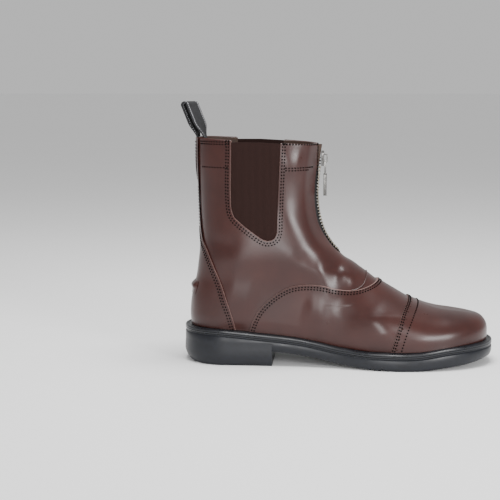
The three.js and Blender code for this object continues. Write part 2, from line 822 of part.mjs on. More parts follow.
const soleEdge = overlayFace + weltWidth;
const weltTop = (x) => welt(x) - clearance;
const weltBottom = (x) => weltTop(x) - weltThickness;
const unitTop = (x) => weltBottom(x) - clearance;

// Welt: a strip round the foot of the upper
add('welt', ringSolid([
  planLoop(soleEdge - weltEase, weltBottom),
  planLoop(soleEdge, (x) => weltBottom(x) + weltEase),
  planLoop(soleEdge, (x) => weltTop(x) - weltEase),
  planLoop(soleEdge - weltEase, weltTop),
  planLoop(-weltUnderUpper, weltTop),
  planLoop(-weltUnderUpper, weltBottom),
]), rubber);

// Insole: a board with its sock on the unit's deck
const insoleEdge = -wall - 2 * clearance;
add('insole', stackSolid([
  planLoop(insoleEdge, (x) => welt(x)),
  planLoop(insoleEdge, (x) => welt(x) + insoleThickness),
]), lining);

// Outsole: moulded unit with a raised deck, waist, toe spring, heel and tread
const deckEdge = -weltUnderUpper - clearance;
const edgeIn = soleEdge - soleEdgeStep;
const soleUnit = stackSolid([
  planLoop(soleEdge - treadEdgeBevel - soleEdgeStep, tread),
  planLoop(soleEdge - soleEdgeStep, (x) => tread(x) + treadEdgeBevel),
  planLoop(soleEdge, (x) => tread(x) + (unitTop(x) - tread(x)) * soleBelly),
  planLoop(soleEdge, (x) => unitTop(x) - soleStepDepth),
  planLoop(edgeIn, (x) => unitTop(x) - soleStepDepth / 2),
  planLoop(edgeIn, unitTop),
  planLoop(deckEdge, unitTop),
  planLoop(deckEdge, weltTop),
]);
const flatAt = (height) => () => height;
const heelStack = stackSolid(heelProfile.map((row) => (
  planLoop(soleEdge + row.reach, flatAt(heelSeat * row.height), heelBackBevel * row.bevel)
)));
const heelBlock = heelStack.intersect(block(upperBack - 40, heelBreastX, -90, 90, -1, heelSeat));

const grooveCuts = [];
function cutGroove(x, halfOuter, halfInner) {
  const depthBottom = x > heelBreastX ? Math.max(0, tread(x)) : 0;
  const back = x - grooveWidth / 2;
  const ceiling = depthBottom + grooveDepth;
  grooveCuts.push(block(back, back + grooveWidth, -halfOuter, halfInner, -grooveDepth, ceiling));
}
const forefootStart = lengthAt(0.615);
const forefootEnd = lengthAt(0.965);
let grooveIndex = 0;
for (let x = forefootStart; x < forefootEnd; x += groovePitch) {
  const open = grooveIndex < 2;
  const border = open ? -10 : grooveBorder;
  const outer = halfWidth(-1, x, welt(x)) - middle(x) + soleEdge - border;
  const inner = halfWidth(1, x, welt(x)) + middle(x) + soleEdge - border;
  cutGroove(x, outer, inner);
  grooveIndex += 1;
}
for (let x = upperBack + heelGrooveStart; x < heelBreastX - groovePitch; x += groovePitch) {
  if (Math.abs(x) > groovePitch / 2) {
    const outer = halfWidth(-1, x, welt(x)) + soleEdge - grooveBorder;
    const inner = halfWidth(1, x, welt(x)) + soleEdge - grooveBorder;
    cutGroove(x, outer, inner);
  }
}
const underFloor = block(upperBack - 40, lengthAt(1.2), -90, 90, -10, 0);
const plainSole = soleUnit.add(heelBlock).subtract(underFloor);
const outsole = grooveCuts.reduce((solid, cut) => solid.subtract(cut), plainSole);
add('outsole', outsole, rubber);

// Pull loop: webbing that leans back. Its rear end is sewn into the collar's edge, its front end inside.
const loopFoot = backXAt(collarHeight) + (wall - loopWebbing) / 2;
const rearLegBottom = collarHeight + clearance;
const frontLegBottom = collarHeight - loopSewnDepth;
const loopTop = collarHeight + loopRise;

function loopPath(offset) {
  const points = [];
  const lean = (z) => -loopLeanBack * Math.max(0, (z - collarHeight) / loopRise) ** loopLeanPower;
  const radius = loopGap / 2 + offset;
  const middleX = loopFoot + loopWebbing + loopGap / 2;
  const crown = loopTop - loopWebbing - loopGap / 2;
  const bends = [0.2, 0.45, 0.7].map((share) => collarHeight + loopRise * share);
  const rear = [rearLegBottom].concat(bends);
  const front = [frontLegBottom, collarHeight].concat(bends).reverse();
  rear.forEach((z) => points.push(new THREE.Vector2(middleX - radius + lean(z), z)));
  for (let i = 0; i <= 8; i += 1) {
    const turn = Math.PI * (1 - i / 8);
    const z = crown + radius * Math.sin(turn);
    points.push(new THREE.Vector2(middleX + radius * Math.cos(turn) + lean(crown), z));
  }
  front.forEach((z) => points.push(new THREE.Vector2(middleX + radius + lean(z), z)));
  return points;
}
const loopShape = loopPath(loopWebbing).concat(loopPath(0).reverse());
add('pull_loop', acrossBoot(loopShape, -loopWidth / 2, loopWidth / 2), webbing);

export default boot;
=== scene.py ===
"""Front-zip paddock boot, right foot, dressed over its solids in leather, elastic, rubber and metal."""

import math

import bmesh
import bpy
import numpy as np
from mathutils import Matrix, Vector
from mathutils.bvhtree import BVHTree


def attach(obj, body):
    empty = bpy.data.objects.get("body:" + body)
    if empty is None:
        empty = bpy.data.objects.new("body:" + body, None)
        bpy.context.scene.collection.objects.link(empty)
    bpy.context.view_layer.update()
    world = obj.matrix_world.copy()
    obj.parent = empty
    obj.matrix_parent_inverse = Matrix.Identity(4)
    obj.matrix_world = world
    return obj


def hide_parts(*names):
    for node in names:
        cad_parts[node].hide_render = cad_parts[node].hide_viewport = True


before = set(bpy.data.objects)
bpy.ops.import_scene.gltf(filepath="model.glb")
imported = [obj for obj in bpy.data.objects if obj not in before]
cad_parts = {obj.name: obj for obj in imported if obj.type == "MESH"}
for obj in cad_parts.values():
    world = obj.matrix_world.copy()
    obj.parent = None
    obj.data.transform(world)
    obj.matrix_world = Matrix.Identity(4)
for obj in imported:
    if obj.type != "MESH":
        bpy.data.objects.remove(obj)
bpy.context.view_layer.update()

# Sizes are in millimetres until a mesh is made, where MM turns them into metres
MM = 0.001

# The boot's own proportions
UPPER_LENGTH = 274.0
UPPER_BACK = -36.5
FOOT_HEIGHT = 104.6
SHAFT_RISE = 102.4
COLLAR = FOOT_HEIGHT + SHAFT_RISE
BALL_WIDTH = 92.0
SHAFT_WIDTH = BALL_WIDTH * 0.772
HEEL_ROUND = 117.0
FRONT_ROUND = 50.0
ROUNDNESS = 2.2
NOSE_NARROWING = 0.5
NOSE_REACH = 0.25
HEEL_SEAT = 34.0

# Where the section passes from foot to shaft, on to the instep and to the front edge, as shares
SHAFT_START = 0.42
SHAFT_BLEND = 0.53
INSTEP_START = 0.425
INSTEP_BLEND = 0.085
NOSE_START = 0.95
NOSE_BLEND = 0.3

# The foot swells by this share of its width over this height above the sole
FOOT_SWELL = 0.035
FOOT_SWELL_RISE = 12.0

# Leather thicknesses and distances from the outer face of the wall
WALL = 2.2
GAP = 0.3
OVERLAY = 1.2
CAP_RIDGE = 0.8
EDGE_SKIVE = 0.42
WALL_SKIVE = 0.8
OVERLAY_FOOT = -0.3

# Sole unit
WELT_REACH = 7.1
WELT_THICKNESS = 4.2
WELT_INSIDE = 9.0
HEEL_BREAST = 40.5

# How finely the upper is drawn
LOOPS = 150
SIDE_POINTS = 110
AROUND = 2 * SIDE_POINTS
END_CROWDING = 0.42
FINE_POINTS = 400
SECTION_POINTS = 361
STRETCH_POINTS = 24
OVER_POINTS = 900

# The lowest share of the loops follows the sole, and the ankle comes at a share of the front and back lines
SOLE_HUG = 0.3
FRONT_ANKLE_SHARE = 0.62
BACK_ANKLE_SHARE = 0.35

# Side lines: along is a share of the upper's length, level is 1 at the ankle bend and 2 at the collar
FRONT_LINE = {
    "along": (0.994, 0.996, 0.993, 0.978, 0.938, 0.882, 0.827, 0.776, 0.735, 0.691,
              0.640, 0.594, 0.540, 0.496, 0.456, 0.434, 0.426, 0.428, 0.443),
    "level": (0.208, 0.272, 0.332, 0.386, 0.420, 0.446, 0.468, 0.508, 0.556, 0.624,
              0.706, 0.796, 0.898, 0.990, 1.129, 1.291, 1.459, 1.639, 1.940),
}
BACK_LINE = {
    "along": (0.003, 0.000, 0.001, 0.005, 0.012, 0.021, 0.029, 0.033, 0.031, 0.027, 0.021, 0.020),
    "level": (0.322, 0.400, 0.480, 0.575, 0.660, 0.747, 0.900, 1.023, 1.343, 1.585, 1.785, 2.000),
}
# Heights of the sole as shares of the heel seat
SOLE_LINE = {
    "along": (0.00, 0.10, 0.21, 0.35, 0.42, 0.50, 0.59, 0.64, 0.76, 0.86, 0.93, 1.00),
    "top": (0.990, 0.975, 0.900, 0.790, 0.700, 0.575, 0.500, 0.489, 0.495, 0.592, 0.630, 0.645),
    "tread": (0.435, 0.435, 0.435, 0.330, 0.255, 0.124, 0.035, -0.012, -0.012, 0.070, 0.125, 0.210),
}
# Half widths of the foot and the swing of its middle line, as shares of the ball's width
FOOT_PLAN = {
    "along": (0.00, 0.13, 0.26, 0.39, 0.50, 0.61, 0.69, 0.76, 0.83, 0.90, 1.00),
    "outer": (0.320, 0.326, 0.326, 0.337, 0.380, 0.462, 0.495, 0.500, 0.484, 0.457, 0.390),
    "inner": (0.320, 0.320, 0.304, 0.283, 0.315, 0.413, 0.467, 0.500, 0.505, 0.478, 0.413),
    "swing": (0.000, 0.000, 0.000, 0.000, 0.000, 0.003, 0.012, 0.025, 0.042, 0.062, 0.087),
}
SHAFT_PLAN = {
    "level": (0.30, 0.50, 0.72, 0.95, 1.15, 1.45, 2.00),
    "half": (0.430, 0.440, 0.470, 0.520, 0.515, 0.500, 0.495),
    "back": (0.280, 0.290, 0.330, 0.390, 0.420, 0.430, 0.430),
}
TOP_ROUND = {
    "along": (0.44, 0.54, 0.69, 0.83, 1.00),
    "depth": (0.570, 0.520, 0.400, 0.290, 0.250),
}
# Edges of the panels in side view
GORE_EDGE = {
    "along": (0.310, 0.303, 0.298, 0.297, 0.288, 0.268, 0.250, 0.233, 0.192, 0.154, 0.144, 0.144),
    "level": (2.100, 1.629, 1.269, 1.177, 1.119, 1.101, 1.112, 1.141, 1.221, 1.310, 1.385, 2.100),
}
COUNTER_EDGE = {
    "along": (0.026, 0.030, 0.043, 0.057, 0.085, 0.109, 0.126, 0.143, 0.155, 0.165),
    "level": (2.100, 1.300, 1.079, 1.011, 0.855, 0.713, 0.587, 0.451, 0.324, 0.150),
}
VAMP_EDGE = {
    "along": (0.195, 0.206, 0.232, 0.269, 0.313, 0.347, 0.388, 0.446, 0.492, 0.551, 0.595, 0.632, 0.680),
    "level": (0.150, 0.308, 0.464, 0.574, 0.660, 0.699, 0.716, 0.710, 0.678, 0.667, 0.690, 0.733, 0.830),
}
CAP_REAR_EDGE = {
    "along": (0.668, 0.676, 0.693, 0.710, 0.733, 0.752),
    "level": (0.070, 0.166, 0.329, 0.472, 0.574, 0.700),
}
CAP_FRONT_SEAM = {
    "along": (0.701, 0.707, 0.719, 0.739, 0.768, 0.790),
    "level": (0.070, 0.176, 0.289, 0.417, 0.544, 0.640),
}
PERFORATION_LINE = {
    "along": (0.685, 0.692, 0.703, 0.721, 0.747, 0.768),
    "level": (0.070, 0.180, 0.307, 0.442, 0.557, 0.660),
}


def height_at(level):
    """Height above the ground of a level, or of many."""
    level = np.asarray(level, float)
    return np.where(level <= 1, level * FOOT_HEIGHT, FOOT_HEIGHT + (level - 1) * SHAFT_RISE)


def level_at(z):
    """Level of a height above the ground."""
    z = np.asarray(z, float)
    return np.where(z <= FOOT_HEIGHT, z / FOOT_HEIGHT, 1 + (z - FOOT_HEIGHT) / SHAFT_RISE)


def length_at(along):
    """Place along the boot of a share of the upper's length."""
    return UPPER_BACK + np.asarray(along, float) * UPPER_LENGTH


def along_at(x):
    """Share of the upper's length of a place along the boot."""
    return (np.asarray(x, float) - UPPER_BACK) / UPPER_LENGTH


def smooth(value):
    """0 below 0 and 1 above 1, with a soft passage between them."""
    share = np.clip(value, 0, 1)
    return share * share * (3 - 2 * share)


def read(table, key_name, value_name, keys):
    """One column of a table read smoothly against another."""
    keys_at = np.array(table[key_name], float)
    values = np.array(table[value_name], float)
    slopes = np.empty(len(values))
    slopes[1:-1] = (values[2:] - values[:-2]) / (keys_at[2:] - keys_at[:-2])
    slopes[0] = (values[1] - values[0]) / (keys_at[1] - keys_at[0])
    slopes[-1] = (values[-1] - values[-2]) / (keys_at[-1] - keys_at[-2])
    keys = np.clip(keys, keys_at[0], keys_at[-1])
    row = np.clip(np.searchsorted(keys_at, keys) - 1, 0, len(values) - 2)
    step = keys_at[row + 1] - keys_at[row]
    share = (keys - keys_at[row]) / step
    rest = 1 - share
    return (values[row] * (1 + 2 * share) * rest ** 2
            + slopes[row] * step * share * rest ** 2
            + values[row + 1] * share ** 2 * (3 - 2 * share)
            - slopes[row + 1] * step * share ** 2 * rest)


def smooth_line(points, count):
    """A run of evenly spaced points on a smooth curve through the given ones."""
    points = np.asarray(points, float)
    chain = np.vstack([2 * points[0] - points[1], points, 2 * points[-1] - points[-2]])
    share = np.linspace(0, 1, STRETCH_POINTS, endpoint=False)[:, None]
    runs = []
    for i in range(1, len(chain) - 2):
        p0, p1, p2, p3 = chain[i - 1:i + 3]
        d0, d1, d2 = (max(1e-6, np.linalg.norm(b - a)) ** 0.5 for a, b in ((p0, p1), (p1, p2), (p2, p3)))
        leave = ((p1 - p0) / d0 - (p2 - p0) / (d0 + d1) + (p2 - p1) / d1) * d1
        arrive = ((p2 - p1) / d1 - (p3 - p1) / (d1 + d2) + (p3 - p2) / d2) * d1
        runs.append(p1 + leave * share + (-3 * p1 + 3 * p2 - 2 * leave - arrive) * share ** 2
                    + (2 * p1 - 2 * p2 + leave + arrive) * share ** 3)
    fine = np.vstack(runs + [points[-1]])
    return evenly(fine, count)


def evenly(path, count):
    """The same path with its points the same distance apart."""
    steps = np.linalg.norm(np.diff(path, axis=0), axis=1)
    reach = np.concatenate([[0], np.cumsum(steps)])
    places = np.linspace(0, reach[-1], count)
    return np.stack([np.interp(places, reach, path[:, axis]) for axis in range(path.shape[1])], axis=1)


def side_points(table):
    """The places in side view that a table gives."""
    return np.stack([length_at(table["along"]), height_at(table["level"])], axis=1)


ridge = smooth_line(side_points(FRONT_LINE), FINE_POINTS + 1)
back_side = smooth_line(side_points(BACK_LINE), FINE_POINTS + 1)
RIDGE_TOE = int(np.argmax(ridge[:, 0]))
RIDGE_WAIST = int(np.argmin(ridge[:, 0]))


def ridge_x(z):
    """Place of the front line at a height."""
    return np.interp(z, ridge[:, 1], ridge[:, 0])


def back_x(z):
    """Place of the back line at a height."""
    return np.interp(z, back_side[:, 1], back_side[:, 0])


def ridge_z(x):
    """Height of the front line over a place along the boot."""
    x = np.asarray(x, float)
    falling = ridge[RIDGE_TOE:RIDGE_WAIST + 1]
    rising = ridge[:RIDGE_TOE + 1]
    found = np.interp(-x, -falling[:, 0], falling[:, 1])
    found = np.where(x >= ridge[0, 0], np.interp(x, rising[:, 0], rising[:, 1]), found)
    found = np.where(x > ridge[RIDGE_TOE, 0], ridge[0, 1], found)
    return np.where(x < ridge[RIDGE_WAIST, 0], ridge[-1, 1], found)


def welt_z(x):
    """Height of the wall's lower edge over a place along the boot."""
    return HEEL_SEAT * read(SOLE_LINE, "along", "top", along_at(x))


def tread_z(x):
    """Height of the sole's underside over a place along the boot."""
    return HEEL_SEAT * read(SOLE_LINE, "along", "tread", along_at(x))


def middle_y(x):
    """The foot's middle line, which swings to the inner side at the toe."""
    return BALL_WIDTH * read(FOOT_PLAN, "along", "swing", along_at(x))


def rounded_off(share):
    """Width of a rounded end, from 0 at its tip to 1 where it has reached its full width."""
    kept = 1 - np.clip(share, 0, 1)
    return (1 - kept ** ROUNDNESS) ** (1 / ROUNDNESS)


def half_width(side, x, z):
    """Half width of the upper at a place in its side view: outer side at -1, inner side at +1."""
    along = along_at(x)
    level = level_at(z)
    foot = BALL_WIDTH * read(FOOT_PLAN, "along", "outer" if side < 0 else "inner", along)
    shaft = SHAFT_WIDTH * read(SHAFT_PLAN, "level", "half", level)
    ankle = smooth((level - SHAFT_START) / SHAFT_BLEND)
    flat = foot + (shaft - foot) * ankle
    bulge = 1 + FOOT_SWELL * smooth((z - welt_z(x)) / FOOT_SWELL_RISE) * (1 - ankle)
    back_share = (x - back_x(z)) / (HEEL_ROUND * read(SHAFT_PLAN, "level", "back", level))
    forward = np.maximum(1e-9, (ridge_x(z) - x) / FRONT_ROUND)
    over_foot = smooth((along - INSTEP_START) / INSTEP_BLEND)
    depth = FOOT_HEIGHT * read(TOP_ROUND, "along", "depth", along)
    below = np.maximum(1e-6, (ridge_z(x) - z) / depth)
    front_share = 1 / np.sqrt(1 / forward ** 2 + over_foot / below ** 2)
    on_nose = smooth((level - NOSE_START) / NOSE_BLEND) * (1 - smooth(forward / NOSE_REACH))
    nose = 1 - NOSE_NARROWING * on_nose
    return flat * bulge * nose * rounded_off(back_share) * rounded_off(front_share)


def along_line(line, share):
    """The point at a share of a line's points."""
    place = share * (len(line) - 1)
    index = min(len(line) - 2, int(place))
    return line[index] + (line[index + 1] - line[index]) * (place - index)


def skin_loop(share):
    """One loop of the upper's outer face: back, outer side, front, inner side."""
    front = along_line(ridge, share)
    past_ankle = max(0.0, share - FRONT_ANKLE_SHARE) / (1 - FRONT_ANKLE_SHARE)
    to_ankle = min(1.0, share / FRONT_ANKLE_SHARE)
    back = along_line(back_side, BACK_ANKLE_SHARE * to_ankle + (1 - BACK_ANKLE_SHARE) * past_ankle)
    hug_sole = 1 - smooth(share / SOLE_HUG)
    reach = (1 - np.cos(np.linspace(0, np.pi, SECTION_POINTS))) / 2
    x = back[0] + (front[0] - back[0]) * reach
    chord = back[1] + (front[1] - back[1]) * reach
    chord_at_sole = back_side[0, 1] + (ridge[0, 1] - back_side[0, 1]) * reach
    z = chord + hug_sole * (welt_z(x) - chord_at_sole)
    halves = []
    for side in (-1, 1):
        width = half_width(side, x, z)
        width[0] = width[-1] = 0
        fine = np.stack([x, middle_y(x) + side * width, z], axis=1)
        steps = np.linalg.norm(np.diff(fine, axis=0), axis=1)
        run = np.concatenate([[0], np.cumsum(steps)])
        places = np.linspace(0, 1, SIDE_POINTS + 1)
        target = run[-1] * (places - END_CROWDING * np.sin(2 * np.pi * places) / (2 * np.pi))
        halves.append(np.stack([np.interp(target, run, fine[:, axis]) for axis in range(3)], axis=1))
    return np.vstack([halves[0], halves[1][-2:0:-1]])


def outward_of(grid):
    """Outward directions of a grid of loops, level on its first and last loops."""
    onward = np.roll(grid, -1, axis=1) - np.roll(grid, 1, axis=1)
    upward = np.empty_like(grid)
    upward[1:-1] = grid[2:] - grid[:-2]
    upward[0] = grid[1] - grid[0]
    upward[-1] = grid[-1] - grid[-2]
    outward = np.cross(onward, upward)
    outward[[0, -1], :, 2] = 0
    return outward / np.linalg.norm(outward, axis=2, keepdims=True)


# Folds and swells pressed into the leather by wear. Each runs through a few places in side view.
# half is its half width and lift its height in millimetres, down into the leather where negative.
FOLDS = [
    {"along": (0.548, 0.505, 0.480, 0.472), "level": (0.925, 0.905, 0.855, 0.800), "half": 6.5, "lift": -1},
    {"along": (0.490, 0.528, 0.562), "level": (0.812, 0.795, 0.770), "half": 7.5, "lift": 1.5},
    {"along": (0.300, 0.373, 0.455), "level": (1.470, 1.163, 0.989), "half": 10.0, "lift": 0.9},
    {"along": (0.340, 0.410, 0.462), "level": (0.960, 0.930, 0.870), "half": 7.0, "lift": -0.9},
    {"along": (0.506, 0.490, 0.523, 0.585), "level": (0.616, 0.528, 0.450, 0.400), "half": 9, "lift": -0.7},
    {"along": (0.380, 0.425, 0.470), "level": (0.500, 0.480, 0.470), "half": 13.0, "lift": 1.5},
    {"along": (0.600, 0.638, 0.668), "level": (0.500, 0.380, 0.230), "half": 10.0, "lift": 1.3},
    {"along": (0.100, 0.175, 0.240), "level": (0.640, 0.600, 0.560), "half": 22.0, "lift": 3.2},
    {"along": (0.060, 0.120, 0.180), "level": (1.090, 1.060, 1.050), "half": 7.0, "lift": -0.6},
    {"along": (0.315, 0.345, 0.380), "level": (1.760, 1.775, 1.760), "half": 10.0, "lift": 1.2},
]
FOLD_POINTS = 25
FOLD_FADE = 0.35
FOLD_LEFT_AT_ENDS = 0.15
CALM_ABOVE_SOLE = 0.08


def relief(points):
    """How far the worn leather stands out at each point, in millimetres."""
    x, z = points[..., 0], points[..., 2]
    total = np.zeros(x.shape)
    for fold in FOLDS:
        path = smooth_line(side_points(fold), FOLD_POINTS)
        nearest = np.full(x.shape, np.inf)
        place = np.zeros(x.shape)
        for i in range(len(path) - 1):
            start, step = path[i], path[i + 1] - path[i]
            share = np.clip(((x - start[0]) * step[0] + (z - start[1]) * step[1]) / step.dot(step), 0, 1)
            away = np.hypot(x - start[0] - share * step[0], z - start[1] - share * step[1])
            closer = away < nearest
            nearest = np.where(closer, away, nearest)
            place = np.where(closer, (i + share) / (len(path) - 1), place)
        fade = smooth(place / FOLD_FADE) * smooth((1 - place) / FOLD_FADE) + FOLD_LEFT_AT_ENDS
        shape = np.exp(-(nearest / fold["half"]) ** 2) * fade
        total += fold["lift"] * shape
    return total


bare_skin = np.array([skin_loop(share) for share in np.linspace(0, 1, LOOPS)])
bare_outward = outward_of(bare_skin)
edge_calm = smooth(np.linspace(0, 1, LOOPS) / CALM_ABOVE_SOLE)[:, None]
skin = bare_skin + bare_outward * (relief(bare_skin) * edge_calm)[..., None]
outward = outward_of(skin)


def skin_at(offset):
    """The worn skin moved outwards."""
    return skin + outward * offset


# The skin as a tree, so that seams and small parts can be laid on it
skin_points = [Vector(p) for p in skin.reshape(-1, 3)]
skin_faces = [(r * AROUND + c, r * AROUND + (c + 1) % AROUND, (r + 1) * AROUND + (c + 1) % AROUND,
               (r + 1) * AROUND + c) for r in range(LOOPS - 1) for c in range(AROUND)]
skin_tree = BVHTree.FromPolygons(skin_points, skin_faces)


def on_skin(points, offset):
    """Points moved on to the skin, at a distance from it, and the outward directions there."""
    places, facings = [], []
    for point in points:
        found, facing, _, _ = skin_tree.find_nearest(Vector(point))
        places.append(np.array(found) + np.array(facing) * offset)
        facings.append(np.array(facing))
    return np.array(places), np.array(facings)


def side_path(line, side, spacing=1.5):
    """A side-view line laid on one side of the boot, as points on the skin."""
    line = np.asarray(line, float)
    slack, above_sole = 0.01, 0.6
    inside = (line[:, 0] > back_x(line[:, 1]) - slack) & (line[:, 0] < ridge_x(line[:, 1]) + slack)
    inside &= (line[:, 1] > welt_z(line[:, 0]) + above_sole) & (line[:, 1] < COLLAR)
    line = line[inside]
    y = middle_y(line[:, 0]) + side * half_width(side, line[:, 0], line[:, 1])
    path = np.stack([line[:, 0], y, line[:, 1]], axis=1)
    places, _ = on_skin(path, 0.0)
    length = np.sum(np.linalg.norm(np.diff(places, axis=0), axis=1))
    return evenly(places, max(3, int(length / spacing)))


def over_path(line, spacing=1.5):
    """A side-view line that ends past the ridge, laid from the outer side over to the inner side."""
    line = evenly(np.asarray(line, float), OVER_POINTS)
    line = line[line[:, 0] < ridge_x(line[:, 1])]
    outer = side_path(line, -1, spacing)
    inner = side_path(line, 1, spacing)
    whole = np.vstack([outer, inner[::-1]])
    return evenly(whole, len(whole))


def front_side(y, z, side):
    """The skin's place at a height and a distance from the middle of the front."""
    front, depth = float(ridge_x(z)), 12.0
    xs = np.linspace(front - depth, front, FINE_POINTS)
    widths = half_width(side, xs, np.full(xs.shape, z))
    x = float(np.interp(-y, -widths, xs))
    return np.array([x, side * y, z])


def beside(path, distance, offset):
    """A path moved sideways along the skin, to its left as seen from outside where positive."""
    _, facings = on_skin(path, 0.0)
    onward = np.gradient(path, axis=0)
    across = np.cross(facings, onward)
    across /= np.maximum(1e-9, np.linalg.norm(across, axis=1, keepdims=True))
    places, _ = on_skin(path + across * distance, offset)
    return places


def new_object(name, data):
    """An object for a mesh, a light or a camera, in the scene."""
    made = bpy.data.objects.new(name, data)
    bpy.context.scene.collection.objects.link(made)
    return made


def piece_of(name, points, faces, *materials, slots=None):
    """An object with a mesh from points in millimetres."""
    mesh = bpy.data.meshes.new(name)
    mesh.from_pydata((np.asarray(points, float).reshape(-1, 3) * MM).tolist(), [], [list(f) for f in faces])
    for material in materials:
        mesh.materials.append(material)
    if slots is not None:
        mesh.polygons.foreach_set("material_index", np.asarray(slots, np.int32))
    mesh.update()
    return new_object(name, mesh)


def baked(piece):
    """Turns an object and its modifiers into a plain mesh."""
    graph = bpy.context.evaluated_depsgraph_get()
    graph.update()
    mesh = bpy.data.meshes.new_from_object(piece.evaluated_get(graph), depsgraph=graph)
    piece.modifiers.clear()
    old = piece.data
    piece.data = mesh
    mesh.name = piece.name
    bpy.data.meshes.remove(old)
    return piece


def with_cutter(piece, cutter, operation):
    """Cuts a piece with another form, or joins them, and takes the other form away."""
    modifier = piece.modifiers.new("cut", "BOOLEAN")
    modifier.operation = operation
    modifier.solver = "EXACT"
    modifier.material_mode = "TRANSFER"
    modifier.object = cutter
    baked(piece)
    bpy.data.objects.remove(cutter)


def eased(piece, width, segments, limit):
    """Rounds the edges of a piece by a small bevel."""
    bevel = piece.modifiers.new("eased", "BEVEL")
    bevel.width = width * MM
    bevel.segments = segments
    bevel.limit_method = limit
    return baked(piece)


def smooth_shaded(piece, angle=35.0):
    """Shades a piece smoothly, except over edges sharper than an angle in degrees."""
    piece.data.shade_smooth()
    piece.data.set_sharp_from_angle(angle=math.radians(angle))
    return piece


def finished(piece, node, body="boot"):
    """Every piece rides on its body, and stands for its solid where it has one."""
    if node:
        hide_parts(node)
    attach(piece, body)


def add(tree, kind, inputs=None, **settings):
    """A new node with its settings, and its inputs linked to sockets or set to values."""
    node = tree.nodes.new(kind)
    for setting, value in settings.items():
        setattr(node, setting, value)
    for name, value in (inputs or {}).items():
        if isinstance(value, bpy.types.NodeSocket):
            tree.links.new(value, node.inputs[name])
        else:
            node.inputs[name].default_value = value
    return node


def output_of(tree, kind, inputs=None, **settings):
    """A new node's first output."""
    return add(tree, kind, inputs, **settings).outputs[0]


def calculate(tree, kind, first, second=0.0):
    """A sum on two values, each a socket or a number."""
    node = tree.nodes.new("ShaderNodeMath")
    node.operation = kind
    for socket, value in zip(node.inputs, (first, second)):
        if isinstance(value, bpy.types.NodeSocket):
            tree.links.new(value, socket)
        else:
            socket.default_value = value
    return node.outputs["Value"]


def shader(name):
    """A new material, its node tree and its surface."""
    material = bpy.data.materials.new(name)
    material.use_nodes = True
    return material, material.node_tree, material.node_tree.nodes["Principled BSDF"]


def place_of(tree):
    """The object's own coordinates."""
    return tree.nodes.new("ShaderNodeTexCoord").outputs["Object"]


def noise(tree, vector, scale, detail=4.0, roughness=0.5):
    """Soft random values over a piece."""
    return output_of(tree, "ShaderNodeTexNoise",
                     {"Vector": vector, "Scale": scale, "Detail": detail, "Roughness": roughness})


def ramp(tree, value, stops):
    """A colour ramp: stops are (place, colour) pairs."""
    node = tree.nodes.new("ShaderNodeValToRGB")
    while len(node.color_ramp.elements) < len(stops):
        node.color_ramp.elements.new(0.5)
    for element, (place, colour) in zip(node.color_ramp.elements, stops):
        element.position = place
        element.color = (*colour, 1)
    tree.links.new(value, node.inputs["Fac"])
    return node.outputs["Color"]


def grey(value):
    return (value, value, value)


def bump(tree, height, strength, distance, after=None):
    """A relief of so many millimetres, on top of another where one is given."""
    inputs = {"Height": height, "Strength": strength, "Distance": distance * MM}
    if after is not None:
        inputs["Normal"] = after
    return output_of(tree, "ShaderNodeBump", inputs)


def leather(name, dark, light, gloss=0.31, coat=0.3, grain=0.10):
    """Smooth finished leather: cloudy brown dye, fine grain and a soft polish."""
    material, tree, surface = shader(name)
    place = place_of(tree)
    clouds = noise(tree, place, scale=26, detail=5, roughness=0.55)
    tree.links.new(ramp(tree, clouds, ((0.30, dark), (0.70, light))), surface.inputs["Base Color"])
    smears = noise(tree, place, scale=60, detail=6, roughness=0.6)
    rough = ramp(tree, smears, ((0.25, grey(gloss - 0.05)), (0.80, grey(gloss + 0.10))))
    tree.links.new(rough, surface.inputs["Roughness"])
    waves = noise(tree, place, scale=34, detail=2, roughness=0.4)
    pores = noise(tree, place, scale=900, detail=3, roughness=0.5)
    swells = bump(tree, waves, strength=0.16, distance=0.8)
    fine = bump(tree, pores, strength=grain, distance=0.12, after=swells)
    tree.links.new(fine, surface.inputs["Normal"])
    surface.inputs["Coat Weight"].default_value = coat
    surface.inputs["Coat Roughness"].default_value = 0.30
    surface.inputs["Specular IOR Level"].default_value = 0.28
    return material


def plain_finish(name, dark, light, rough, scale, depth, metallic=0.0, specular=0.5):
    """A finish with fine speckle and grain."""
    material, tree, surface = shader(name)
    place = place_of(tree)
    speckle = noise(tree, place, scale, detail=5, roughness=0.6)
    tree.links.new(ramp(tree, speckle, ((0.30, dark), (0.70, light))), surface.inputs["Base Color"])
    patches = noise(tree, place, scale / 4, detail=3)
    wear = ramp(tree, patches, ((0.3, grey(rough - 0.06)), (0.7, grey(rough + 0.08))))
    tree.links.new(wear, surface.inputs["Roughness"])
    tree.links.new(bump(tree, speckle, strength=0.4, distance=depth), surface.inputs["Normal"])
    surface.inputs["Metallic"].default_value = metallic
    surface.inputs["Specular IOR Level"].default_value = specular
    return material


